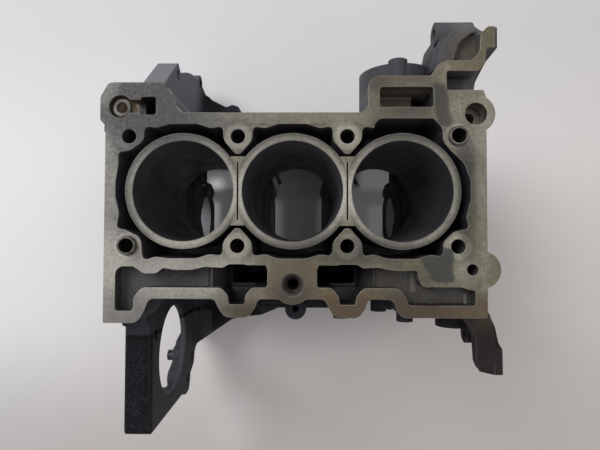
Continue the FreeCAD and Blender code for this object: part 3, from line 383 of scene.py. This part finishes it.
deckLook = {
    "cool": srgb(114, 110, 104),
    "warm": srgb(95, 90, 68),
    "brown": srgb(84, 67, 43),
    "darkBrown": srgb(56, 44, 26),
    "liner": srgb(96, 91, 80),
    # painted highlight on the liners' rims
    "linerLipHighlight": srgb(160, 156, 146),
    "film": srgb(42, 40, 38),
    "greenFilm": srgb(46, 46, 42),
    "cornerShade": srgb(34, 32, 32),
    "rust": srgb(74, 48, 30),
    "pale": srgb(206, 199, 186),
    # lighter edges: wear with a painted highlight
    "edge": srgb(184, 178, 164),
    "glint": srgb(235, 235, 232),
    "metal": 0.35,
    "edgeRadius": 0.8 * mm,
    "bumpHeight": 0.05 * mm,
    "wander": 5 * mm,
    "blotch": 13 * mm,
    "mottle": 2.6 * mm,
    # distances from a head bolt hole and from a bore's centre
    "boltGround": (10.5 * mm, 7.5 * mm),
    "boltRing": (9.4 * mm, 10.9 * mm, 11.4 * mm, 13.6 * mm),
    "linerCrest": (36.1 * mm, 36.8 * mm, 37.4 * mm, 40.2 * mm),
    "linerShoulder": (39.2 * mm, 41.2 * mm),
    "linerMouth": (36.6 * mm, 36 * mm),
}

# Films, heat tint and places of wear on the deck, with painted shade, painted sheen and a painted reflection
# among them: tone, centre and half size in millimetres, strength
deckPatches = (
    # the shaded corner over the clutch end
    ("cornerShade", (-128, 64), (26, 18), 0.85),
    ("cornerShade", (-104, 74), (24, 8), 0.6),
    # gasket film along the exhaust side
    ("film", (-101, 50), (33, 22), 0.9),
    ("film", (-90, 73), (14, 13), 0.7),
    ("film", (-110, 72), (24, 9), 0.35),
    ("film", (-62, 52), (24, 12), 0.45),
    ("film", (-118, 34), (12, 16), 0.5),
    ("film", (-80, 33), (24, 9), 0.55),
    ("film", (-34, 38), (14, 10), 0.25),
    ("film", (0, 34), (22, 8), 0.3),
    ("film", (60, 45), (10, 8), 0.35),
    ("film", (78, 34), (26, 9), 0.5),
    ("film", (80, 49), (22, 13), 0.42),
    ("film", (74, 61), (27, 6), 0.55),
    ("film", (60, 80), (9, 9), 0.55),
    ("film", (84, 72), (24, 12), 0.28),
    # film down both ends
    ("film", (-116, 4), (11, 38), 0.34),
    ("film", (109, 0), (6, 30), 0.25),
    ("film", (123, 0), (6, 44), 0.75),
    ("film", (122, 25), (8, 15), 0.5),
    # film along the intake side
    ("film", (28, -41), (44, 11), 0.6),
    ("film", (70, -44), (26, 10), 0.38),
    ("film", (0, -57), (34, 5), 0.2),
    ("film", (92, -60), (12, 6), 0.45),
    ("film", (-45, -76), (10, 8), 0.3),
    ("film", (-31, -87), (15, 7), 0.8),
    ("film", (0, -73), (14, 11), 0.8),
    ("film", (38, -86), (24, 8), 0.35),
    ("film", (84, -82), (28, 13), 0.8),
    ("film", (112, -83), (33, 11), 0.5),
    # heat tint
    ("brown", (40, -80), (26, 12), 0.9),
    ("brown", (-2, -62), (40, 16), 0.5),
    ("brown", (-30, -84), (16, 9), 0.45),
    ("brown", (104, -84), (44, 12), 0.6),
    ("brown", (143, -86), (12, 9), 0.8),
    ("brown", (72, 86), (26, 6), 0.6),
    ("brown", (72, 60), (9, 3), 0.5),
    ("brown", (124, 88), (14, 10), 0.5),
    # painted sheen along the deck's clutch-end edge and on its lower corner
    ("pale", (-134, 74), (8, 14), 0.12),
    ("pale", (-129, -48), (13, 19), 0.3),
    ("pale", (-136, -76), (9, 17), 0.12),
    # painted reflection on the clutch-end liner's rim
    ("pale", (-78, -38), (27, 6), 0.2),
    # painted sheen over the lower corner at the clutch end
    ("pale", (-84, -62), (42, 15), 0.24),
    # pale ground from wear
    ("pale", (-42, -56), (18, 8), 0.2),
    ("pale", (30, 58), (34, 9), 0.08),
    ("pale", (44, 40), (12, 12), 0.08),
    ("pale", (116, 86), (16, 14), 0.07),
    ("pale", (127, 52), (18, 22), 0.14),
    ("pale", (138, 14), (7, 60), 0.09),
    ("pale", (122, -56), (10, 9), 0.12),
    # burnt oil over the tint
    ("darkBrown", (84, -84), (25, 9), 0.55),
    ("darkBrown", (40, -84), (26, 10), 0.42),
    ("darkBrown", (0, -74), (16, 14), 0.28),
    ("darkBrown", (-30, -85), (15, 7), 0.35),
    ("darkBrown", (70, -67), (20, 9), 0.22),
    # a second film over the worn ground
    ("film", (-102, 58), (30, 19), 0.5),
    ("film", (-84, 76), (10, 12), 0.35),
    # worn bright webs between the bores
    ("pale", (-37, -2), (9, 15), 0.24),
    ("pale", (38, -3), (9, 17), 0.34),
)

# Bright glints on the chamfer where the deck meets the arm at the clutch end
deckGlints = (((-86.5, 72.5), (2.6, 2.6)), ((-81.5, 58.5), (3.4, 2.2)))


def deckGround(finish, x, y, blotch):
    # milled iron, greyer at the clutch end, and worn lighter where the head bolts clamped the gasket
    broad = finish.noise(60 * mm, 2)
    warmth = x.ramp(-130 * mm, 40 * mm) * 0.9 + (broad - 0.5)
    tone = finish.mix(warmth.larger(0).smaller(1), deckLook["cool"], deckLook["warm"])
    tone = finish.mix(blotch.ramp(0.5, 0.75, 0, 0.3), tone, deckLook["film"])
    tone = finish.mix(blotch.ramp(0.5, 0.25, 0, 0.14), tone, deckLook["pale"])
    boltX = abs(abs(x) - casting["borePitch"]) - casting["borePitch"] / 2
    boltY = abs(y) - casting["boltRow"]
    fromBolt = (boltX * boltX + boltY * boltY).root()
    tone = finish.mix(fromBolt.ramp(*deckLook["boltGround"]) * 0.2, tone, deckLook["pale"])
    ring = fromBolt.band(*deckLook["boltRing"]) * blotch
    return finish.mix(ring * 0.4, tone, deckLook["film"])


def deckLiners(finish, x, y, wander, tone):
    # painted highlight along the middle of the liners' rims, on their chamfer, and painted shade at their
    # outer edge and at the bore's mouth
    foldX = abs(abs(x) - casting["borePitch"] / 2) - casting["borePitch"] / 2
    fromBore = (foldX * foldX + y * y).root()
    onLiner = fromBore.ramp(casting["linerRadius"] + 0.3 * mm, casting["linerRadius"] - 0.3 * mm)
    tone = finish.mix(onLiner * 0.85, tone, deckLook["liner"])
    # painted highlight on the chamfer
    lipHighlight = fromBore.band(*deckLook["linerCrest"])
    tone = finish.mix((lipHighlight * (0.5 + wander)).larger(0) * 0.75, tone, deckLook["linerLipHighlight"])
    # painted shade at the outer edge and at the bore's mouth
    rimShade = fromBore.ramp(*deckLook["linerShoulder"]) * onLiner + fromBore.ramp(*deckLook["linerMouth"])
    return finish.mix(rimShade * 0.6, tone, deckLook["film"])


def deckStains(finish, bent, bentPlace, blotch, tone):
    for name, centre, reach, strength in deckPatches:
        tone = finish.mix(finish.patch(bentPlace, centre, reach, 0.6) * strength, tone, deckLook[name])

    # films left by the gasket beside the coolant window, by the jacket's last corner and in a thin line
    bentX, bentY = bent
    upperFilm = finish.zone((bentX + bentY * 0.12, bentY), (108.5, 118), (46, 77), 1.8)
    tone = finish.mix(upperFilm * 0.75, tone, deckLook["film"])
    slant = (bentX + bentY * 0.62).ramp(58 * mm, 62 * mm)
    slantFilm = slant * finish.zone(bent, (88, 113.5), (-64.5, -40), 1.5)
    tone = finish.mix(slantFilm * 0.92, tone, deckLook["greenFilm"])
    gasketLine = finish.zone(bent, (-46, 60), (46.8, 48.2), 0.8) * blotch.ramp(0.35, 0.6)
    return finish.mix(gasketLine * 0.5, tone, deckLook["film"])


def deckRust(finish, bentPlace, tone):
    # small pits all over, and specks beside the coolant window
    pits = finish.specks(3.4 * mm).ramp(0.13, 0.05) * finish.noise(26 * mm, 2).ramp(0.5, 0.62)
    tone = finish.mix(pits * 0.8, tone, deckLook["rust"])
    rust = finish.patch(bentPlace, (118, 54), (14, 22), 0.7) * finish.noise(1.7 * mm, 3).ramp(0.54, 0.68)
    return finish.mix(rust * 0.8, tone, deckLook["rust"])


def deckFinish():
    finish = Finish("milledDeck")
    x, y, _ = finish.axes()
    wander = finish.noise(9 * mm, 3) - 0.5
    wanderBack = finish.noise(7 * mm, 3) - 0.5
    bent = (x + wander * deckLook["wander"], y + wanderBack * deckLook["wander"])
    bentPlace = finish.node("ShaderNodeCombineXYZ", {}, dict(enumerate(bent)))
    blotch = finish.noise(deckLook["blotch"], 4, 0.6)
    mottle = finish.noise(deckLook["mottle"], 4, 0.65)

    tone = deckGround(finish, x, y, blotch)
    tone = deckLiners(finish, x, y, wander, tone)
    tone = deckStains(finish, bent, bentPlace, blotch, tone)
    tone = finish.mix(mottle.ramp(0.35, 0.7, 0, 0.28), tone, deckLook["film"])
    tone = deckRust(finish, bentPlace, tone)

    soft = finish.softEdges(deckLook["edgeRadius"])
    # the edges are lighter from wear and from a painted highlight, and the glints on the chamfer are painted
    # highlights
    wornAndLitEdge = finish.edgeMask(soft, 0.15)
    tone = finish.mix(wornAndLitEdge * blotch.ramp(0.3, 0.6) * 0.65, tone, deckLook["edge"])
    for centre, reach in deckGlints:
        tone = finish.mix(finish.patch(finish.place, centre, reach, 0.3) * wornAndLitEdge, tone, deckLook["glint"])
    milling = finish.noise(0.5 * mm, 2, place=finish.stretched((1, 7, 1)))
    normal = finish.bump(milling * 0.6 + mottle * 0.4, deckLook["bumpHeight"], 0.5, soft)
    return finish.shade(tone, mottle.ramp(0.3, 0.7, 0.4, 0.58), normal, deckLook["metal"])


boreLook = {
    "wall": srgb(120, 119, 124),
    "smear": srgb(100, 99, 103),
    "sooty": srgb(50, 50, 54),
    "metal": 0.75,
    "hatchPitch": 1.4 * mm,
    "hatchDepth": 0.01 * mm,
}


def boreFinish():
    # honed iron with an oil film, sootier on the wall nearest the timing end
    finish = Finish("honedBore")
    x, y, z = finish.axes()
    local = x - (x / casting["borePitch"]).rounded() * casting["borePitch"]
    along = local.maths("ARCTAN2", y, local) * casting["boreRadius"]
    step = 2 * math.pi / boreLook["hatchPitch"]
    hatch = ((along + z) * step).sine().larger(((along - z) * step).sine())
    film = finish.noise(24 * mm, 2)
    tone = finish.mix(film.ramp(0.35, 0.7), boreLook["wall"], boreLook["smear"])
    tone = finish.mix(x.ramp(86 * mm, 112 * mm) * 0.45, tone, boreLook["sooty"])
    normal = finish.bump(hatch, boreLook["hatchDepth"], 0.35)
    return finish.shade(tone, film.ramp(0.3, 0.7, 0.3, 0.44), normal, boreLook["metal"])


castLook = {
    "skin": srgb(60, 59, 64),
    "pale": srgb(120, 119, 124),
    # dust with a painted highlight
    "dustAndHighlight": srgb(114, 113, 117),
    "grey": srgb(104, 102, 103),
    "stub": srgb(60, 59, 62),
    "earSide": srgb(66, 65, 69),
    "web": srgb(104, 103, 108),
    "deep": srgb(24, 23, 27),
    "black": srgb(10, 9, 12),
    "dark": srgb(38, 37, 42),
    "brown": srgb(38, 33, 29),
    "tint": srgb(84, 70, 50),
    "dish": srgb(80, 72, 58),
    # painted light for the crankcase's inside, seen through the bores
    "under": srgb(150, 148, 150),
    # lighter edges: wear with a painted highlight
    "edge": srgb(104, 103, 108),
    "speck": srgb(78, 76, 82),
    "grain": 0.9 * mm,
    "edgeRadius": 2.2 * mm,
    "bumpHeight": 0.35 * mm,
    "shine": 0.08,
}

# Where the skin differs, with painted shade among them: tone, columns and rows in millimetres, softness,
# strength
castZones = (
    # dust, and a painted highlight on the top of the arm at the clutch end
    ("dustAndHighlight", (-112, -40), (56, 160), 5, 0.9),
    ("pale", (-160, -112), (84, 190), 5, 0.9),
    ("grey", (14, 150), (56, 170), 12, 0.8),
    ("stub", (56, 104), (78, 108), 5, 0.85),
    ("dark", (103, 120), (92, 150), 5, 0.4),
    ("dark", (84, 104), (78, 106), 5, 0.4),
    ("deep", (100, 128), (74, 93), 2, 0.35),
    ("dish", (116, 140), (98, 116), 6, 0.8),
    # painted shade below the deck edge on the intake side
    ("dark", (-30, 112), (-118, -74), 6, 0.8),
    # lighter on the web by the starter ear
    ("web", (-108, -62), (-200, -146), 4, 0.85),
    # painted shade below the deck edge and over the gusset
    ("deep", (-98, -14), (-108, -70), 7, 0.9),
    ("black", (-107, -44), (-143, -108), 4, 0.95),
    # the starter ear's black top
    ("black", (-140, -110), (-210, -114), 2.2, 0.9),
    ("black", (-123, -114), (-206, -114), 1.5, 0.85),
    ("deep", (96, 104), (53, 80), 1, 0.7),
    ("brown", (120, 156), (-160, -89), 5, 0.9),
    ("tint", (128, 152), (-96, -80), 5, 0.25),
)


def castGrain(finish, soft, height):
    fine = finish.noise(castLook["grain"], 3, 0.6)
    pebbled = finish.specks(2.1 * mm, "SMOOTH_F1")
    rolling = finish.noise(9 * mm, 2)
    return finish.bump(fine * 0.5 + pebbled * 0.35 + rolling * 0.8, height, 0.8, soft), fine


def earTone(finish, x, y, z, shown, tone):
    # the starter ear: grey sides, a speckled black top, and painted shade as a black line across its root,
    # where a step in it is not modelled
    side = finish.zone((x, y), (-140, -98), (-206, -117), 2) * z.ramp(-55 * mm, -62 * mm)
    tone = finish.mix(side * shown * 0.9, tone, castLook["earSide"])
    top = finish.zone((x, y), (-140, -112), (-210, -116), 2)
    sparkle = finish.noise(1.3 * mm, 3, 0.7).ramp(0.5, 0.66) * top
    tone = finish.mix(sparkle * 0.32, tone, castLook["speck"])
    stepShade = finish.zone((x, y), (-136, -111), (-117.5, -113.8), 1.2)
    return finish.mix(stepShade * 0.9, tone, castLook["black"])


def castFinish():
    # sand-cast skin, greyer where dust lies on the exhaust side and nearly black on the starter ear, with
    # painted shade below the deck edge on the intake side and painted light deep in the crankcase
    finish = Finish("castSkin")
    x, y, z = finish.axes()
    soft = finish.softEdges(castLook["edgeRadius"])
    normal, fine = castGrain(finish, soft, castLook["bumpHeight"])
    broad = finish.noise(32 * mm, 3) - 0.5
    bent = (x + broad * (22 * mm), y + broad * (22 * mm))
    tone = finish.mix(broad.ramp(-0.2, 0.2), castLook["skin"], castLook["dark"])
    shown = z.ramp(-235 * mm, -180 * mm)
    for name, columns, rows, edge, strength in castZones:
        place = bent if edge > 3 else (x, y)
        tone = finish.mix(finish.zone(place, columns, rows, edge) * shown * strength, tone, castLook[name])
    # painted light: cast faces deep in the crankcase, the main caps among them, are made pale where they
    # show through the bores
    under = z.ramp(-135 * mm, -150 * mm) * finish.zone((x, y), (-124, 124), (-52, 52), 4)
    tone = finish.mix(under * 0.8, tone, castLook["under"])
    tone = earTone(finish, x, y, z, shown, tone)
    tone = finish.mix(fine.ramp(0.4, 0.75, 0, 0.4), tone, castLook["deep"])
    # lighter edges: wear, with a painted highlight along them
    tone = finish.mix(finish.edgeMask(soft, 0.3) * 0.3, tone, castLook["edge"])
    shine = {"Specular IOR Level": castLook["shine"]}
    return finish.shade(tone, fine.ramp(0.3, 0.7, 0.56, 0.74), normal, **shine)


insideLook = {
    "black": srgb(62, 60, 65),
    "grey": srgb(62, 59, 56),
    "brown": srgb(50, 45, 39),
    "ledge": srgb(128, 118, 104),
    "sill": srgb(80, 73, 62),
    "window": srgb(92, 86, 78),
    # rubbed edges with a painted highlight
    "rimWearAndHighlight": srgb(122, 118, 110),
    # near black, also used as painted shade
    "duct": srgb(14, 13, 16),
    # painted light for the deep crankcase, seen through the bores
    "crankcase": srgb(112, 110, 113),
    "grain": srgb(26, 25, 27),
    # ridged grain with a painted highlight
    "ridgeAndSheen": srgb(120, 118, 112),
    "oily": 0.42,
    "dry": 0.7,
    "edgeRadius": 1.6 * mm,
    "bumpHeight": 0.3 * mm,
    "shine": 0.3,
}

# Parts of the pockets and the jacket with a tone of their own, as for the skin, and painted shade and
# painted highlights at their edges
insideZones = (
    ("brown", (52, 132), (-90, -50), 4, 0.8),
    ("ledge", (40, 104), (73, 90), 1, 0.9),
    ("sill", (40, 104), (53, 73), 1, 0.9),
    # near black in the deep parts of the pockets, and painted shade on the jacket's wall at the timing end
    ("duct", (-52, -8), (-92, -50), 4, 0.86),
    ("duct", (8, 53), (-92, -50), 3, 0.86),
    ("duct", (90, 128), (-67, -56), 1.5, 0.6),
    ("duct", (97, 136), (-52, 54), 3, 0.6),
    ("duct", (-94, -66), (-80, -50), 6, 0.4),
    # a painted shadow along the pocket's lower wall, and painted shade and painted highlights along the rib
    # edges, which are rubbed too
    ("duct", (84, 134), (-82, -79.8), 0.5, 0.65),
    ("duct", (-61.8, -60), (-75, -53), 0.5, 0.9),
    ("rimWearAndHighlight", (-59.5, -58.3), (-75, -53), 0.5, 0.45),
    ("duct", (59.4, 61.2), (-75, -53), 0.5, 0.9),
    ("rimWearAndHighlight", (85.5, 89), (-72, -57), 1.2, 0.35),
    ("rimWearAndHighlight", (124.2, 126.4), (-84, -73), 0.7, 0.45),
)


def insideFinish():
    # the jacket, the pockets and the crankcase: black from coolant and oil, greyer near the deck, with
    # painted light deep in the crankcase
    finish = Finish("insideCasting")
    x, y, z = finish.axes()
    soft = finish.softEdges(insideLook["edgeRadius"])
    normal, fine = castGrain(finish, soft, insideLook["bumpHeight"])
    broad = finish.noise(18 * mm, 3)
    pocket = y.ramp(-50 * mm, -54 * mm) * z.ramp(-40 * mm, -14 * mm)
    greyed = (pocket * 0.85 + (broad - 0.5) * 0.25).larger(0).smaller(1)
    tone = finish.mix(greyed, insideLook["black"], insideLook["grey"])
    for name, columns, rows, edge, strength in insideZones:
        tone = finish.mix(finish.zone((x, y), columns, rows, edge) * strength, tone, insideLook[name])
    behindWindow = finish.zone((x, y), (44, 104), (53, 90), 2) * z.ramp(-24 * mm, -34 * mm)
    tone = finish.mix(behindWindow, tone, insideLook["window"])
    windowLip = finish.zone((x, y), (42, 104), (70, 80), 2) * z.ramp(-10 * mm, -5 * mm)
    tone = finish.mix(windowLip * 0.7, tone, insideLook["duct"])
    # painted light: the inside is made pale deep in the crankcase, where it shows through the bores
    tone = finish.mix(z.ramp(-125 * mm, -150 * mm) * 0.75, tone, insideLook["crankcase"])
    tone = finish.mix(fine.ramp(0.45, 0.75, 0, 0.5), tone, insideLook["grain"])
    # lighter streaks on the pocket floors: ridged grain, with painted highlights of oil on it
    ridgeGrainAndSheen = finish.noise(1.1 * mm, 3, 0.6, finish.stretched((0.4, 1, 1))).ramp(0.5, 0.72) * pocket
    tone = finish.mix(ridgeGrainAndSheen * 0.2, tone, insideLook["ridgeAndSheen"])
    roughness = broad.ramp(0.35, 0.65, insideLook["oily"], insideLook["dry"])
    return finish.shade(tone, roughness, normal, **{"Specular IOR Level": insideLook["shine"]})


machinedLook = {
    "bright": srgb(134, 130, 122),
    "dull": srgb(112, 107, 99),
    "metal": 0.55,
}


def machinedFinish():
    # faces cut for the clutch housing, the timing cover, the sump and the bosses
    finish = Finish("machinedFace")
    soft = finish.softEdges(0.5 * mm)
    patches = finish.noise(16 * mm, 3)
    lines = finish.noise(0.6 * mm, 2, place=finish.stretched((1, 1, 6)))
    tone = finish.mix(patches.ramp(0.35, 0.7), machinedLook["bright"], machinedLook["dull"])
    normal = finish.bump(lines, 0.05 * mm, 0.5, soft)
    return finish.shade(tone, patches.ramp(0.3, 0.7, 0.36, 0.52), normal, machinedLook["metal"])


seatLook = {
    "bright": srgb(84, 78, 72),
    "dull": srgb(52, 45, 40),
    # painted light on the sunk walls
    "clutchWallLight": srgb(190, 174, 156),
    "timingWallLight": srgb(150, 136, 120),
    "oily": srgb(34, 30, 28),
    "metal": 0.3,
}


def seatFinish():
    # the seats sunk in the deck: rusty walls with painted light on their sunk parts at both ends, and oil in
    # the slot and in the middle seat
    finish = Finish("milledSeat")
    x, y, z = finish.axes()
    soft = finish.softEdges(0.8 * mm)
    patches = finish.noise(7 * mm, 3)
    tone = finish.mix(patches.ramp(0.35, 0.7), seatLook["bright"], seatLook["dull"])
    # painted light on the sunk walls at the clutch end and the timing end
    sunk = z.ramp(-4 * mm, -9 * mm)
    tone = finish.mix(sunk * x.ramp(-113 * mm, -116 * mm) * 0.9, tone, seatLook["clutchWallLight"])
    tone = finish.mix(sunk * x.ramp(110 * mm, 114 * mm) * 0.45, tone, seatLook["timingWallLight"])
    slot = x.band(-113.5 * mm, -111.5 * mm, -88 * mm, -80 * mm)
    middle = y.ramp(-40 * mm, -50 * mm) * 0.5
    tone = finish.mix((slot + middle) * 0.75, tone, seatLook["oily"])
    normal = finish.bump(finish.noise(0.9 * mm, 3), 0.12 * mm, 0.6, soft)
    return finish.shade(tone, patches.ramp(0.3, 0.7, 0.42, 0.6), normal, seatLook["metal"])


threadLook = {
    "colour": srgb(58, 54, 54),
    "pitch": 1.5 * mm,
    "depth": 0.4 * mm,
    "roughness": 0.4,
    "metal": 0.4,
}


def threadFinish():
    # tapped holes with oil in them
    finish = Finish("tappedHole")
    _, _, z = finish.axes()
    turns = (z * (2 * math.pi / threadLook["pitch"])).sine()
    normal = finish.bump(turns, threadLook["depth"], 0.8)
    return finish.shade(threadLook["colour"], threadLook["roughness"], normal, threadLook["metal"])


# Steels of the loose pieces: tone, darker tone, roughness, metal and width of the blotches
steelLooks = {
    "dowelSteel": (srgb(104, 100, 92), srgb(58, 54, 48), 0.28, 0.85, 4 * mm),
    "blackDowelSteel": (srgb(58, 56, 58), srgb(38, 36, 38), 0.45, 0.5, 4 * mm),
    "blackBoltSteel": (srgb(62, 60, 60), srgb(40, 38, 38), 0.38, 0.6, 4 * mm),
    "platedPlugSteel": (srgb(140, 136, 124), srgb(104, 96, 84), 0.35, 0.8, 7 * mm),
    "jetSteel": (srgb(96, 92, 88), srgb(60, 57, 54), 0.36, 0.7, 4 * mm),
}


def steelFinish(name):
    colour, darker, roughness, metal, size = steelLooks[name]
    finish = Finish(name)
    blotch = finish.noise(size, 3)
    tone = finish.mix(blotch.ramp(0.35, 0.7), colour, darker)
    soft = finish.softEdges(0.3 * mm)
    normal = finish.bump(finish.noise(0.5 * mm, 2), 0.03 * mm, 0.5, soft)
    return finish.shade(tone, blotch.ramp(0.3, 0.7, roughness, roughness + 0.16), normal, metal)


finishes = {
    "cast": castFinish(),
    "deck": deckFinish(),
    "bore": boreFinish(),
    "inside": insideFinish(),
    "machined": machinedFinish(),
    "seat": seatFinish(),
    "thread": threadFinish(),
    "dowel": steelFinish("dowelSteel"),
    "blackDowel": steelFinish("blackDowelSteel"),
    "bolt": steelFinish("blackBoltSteel"),
    "plug": steelFinish("platedPlugSteel"),
    "jet": steelFinish("jetSteel"),
}
print("finishes")

# How the casting's faces are told apart: lengths in metres, and parts of a face's normal
sorting = {
    # rays level from each face, that show whether it lies inside
    "rays": 12,
    "firstRay": 0.1,
    "rayLift": 0.3 * mm,
    "rayLength": 0.4,
    # columns and rows
    "insideAreas": (((-0.131, 0.131), (-0.092, 0.0502)), ((0.048, 0.1), (0.05, 0.084))),
    "seatAreas": (
        ((-0.134, -0.09), (0.05, 0.072)),
        ((0.12, 0.14), (0.045, 0.065)),
        ((-0.01, 0.01), (-0.076, -0.057)),
    ),
    "seatDepth": -0.08,
    "facing": 0.9,
    "across": 0.1,
}


def readFaces(mesh, field):
    values = np.empty(len(mesh.polygons) * 3)
    mesh.polygons.foreach_get(field, values)
    return values.reshape(-1, 3)


def enclosedFaces(mesh, centres, normals):
    # a face lies inside the casting if the casting stops every level ray from it
    tree = BVHTree.FromPolygons([v.co for v in mesh.vertices], [p.vertices for p in mesh.polygons])
    turns = np.arange(sorting["rays"]) * 2 * math.pi / sorting["rays"] + sorting["firstRay"]
    rays = [Vector((math.cos(turn), math.sin(turn), 0)) for turn in turns]
    enclosed = np.ones(len(centres), bool)
    for i, (centre, normal) in enumerate(zip(centres, normals)):
        start = Vector(centre + normal * sorting["rayLift"])
        hits = (tree.ray_cast(start, ray, sorting["rayLength"])[0] for ray in rays)
        enclosed[i] = all(hit is not None for hit in hits)
    return enclosed


def within(x, y, areas):
    hit = np.zeros(len(x), bool)
    for (left, right), (near, far) in areas:
        hit |= (x > left) & (x < right) & (y > near) & (y < far)
    return hit


def sortFaces(mesh):
    # each face of the casting gets the finish of how it was made
    centres = readFaces(mesh, "center")
    normals = readFaces(mesh, "normal")
    x, y, z = centres.T
    slack = casting["faceSlack"]
    pitch = casting["borePitch"]
    facing = sorting["facing"]
    column = np.clip(np.round(x / pitch), -1, 1) * pitch
    fromBore = np.hypot(x - column, y)
    fromBolt = np.hypot(abs(abs(x) - pitch) - pitch / 2, abs(y) - casting["boltRow"])
    fromCrank = np.hypot(y - casting["crankRow"], z - casting["crankHeight"])
    inBore = (fromBore < casting["boreRadius"] + slack) & (z > -casting["boreLength"] - slack)
    upright = abs(normals[:, 2]) < sorting["across"]
    alongCrank = abs(normals[:, 0]) < sorting["across"]
    kind = np.full(len(centres), "cast", object)
    kind[enclosedFaces(mesh, centres, normals) & within(x, y, sorting["insideAreas"])] = "inside"
    kind[within(x, y, sorting["seatAreas"]) & (z > sorting["seatDepth"])] = "seat"
    kind[(fromBolt < casting["boltRadius"] + slack) & upright] = "thread"
    kind[(fromCrank < casting["mainBore"] + slack) & alongCrank] = "machined"
    kind[(x < casting["clutchFace"] + slack) & (normals[:, 0] < -facing)] = "machined"
    kind[(x > casting["timingFace"] - slack) & (normals[:, 0] > facing)] = "machined"
    kind[(z < blockLow.z + slack) & (normals[:, 2] < -facing)] = "machined"
    kind[inBore & upright] = "bore"
    kind[(z > -slack) & (normals[:, 2] > facing)] = "deck"
    return kind


def dressBlock():
    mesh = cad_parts["cylinder_block"].data.copy()
    kinds = ["cast", "deck", "bore", "inside", "machined", "seat", "thread"]
    mesh.materials.clear()
    for name in kinds:
        mesh.materials.append(finishes[name])
    kind = sortFaces(mesh)
    mesh.polygons.foreach_set("material_index", [kinds.index(name) for name in kind])
    block = bpy.data.objects.new("cast_block", mesh)
    bpy.context.collection.objects.link(block)
    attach(block, "root")
    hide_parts("cylinder_block")
    return block


block = dressBlock()
print("block", len(block.data.polygons))

# The loose pieces by the start of their names
nodeFinishes = {
    "main_bearing_cap": "cast",
    "main_cap_bolt": "bolt",
    "piston_cooling_jet": "jet",
    "cooling_jet_bolt": "bolt",
    "head_dowel": "dowel",
    "clutch_housing_dowel": "blackDowel",
    "core_plug": "plug",
    "oil_gallery_plug": "plug",
}


def dressNodes():
    for name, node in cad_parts.items():
        for start, finish in nodeFinishes.items():
            if name.startswith(start):
                for slot in node.material_slots:
                    slot.material = finishes[finish]


dressNodes()
print("loose pieces")

bpy.context.scene.view_settings.view_transform = "Standard"
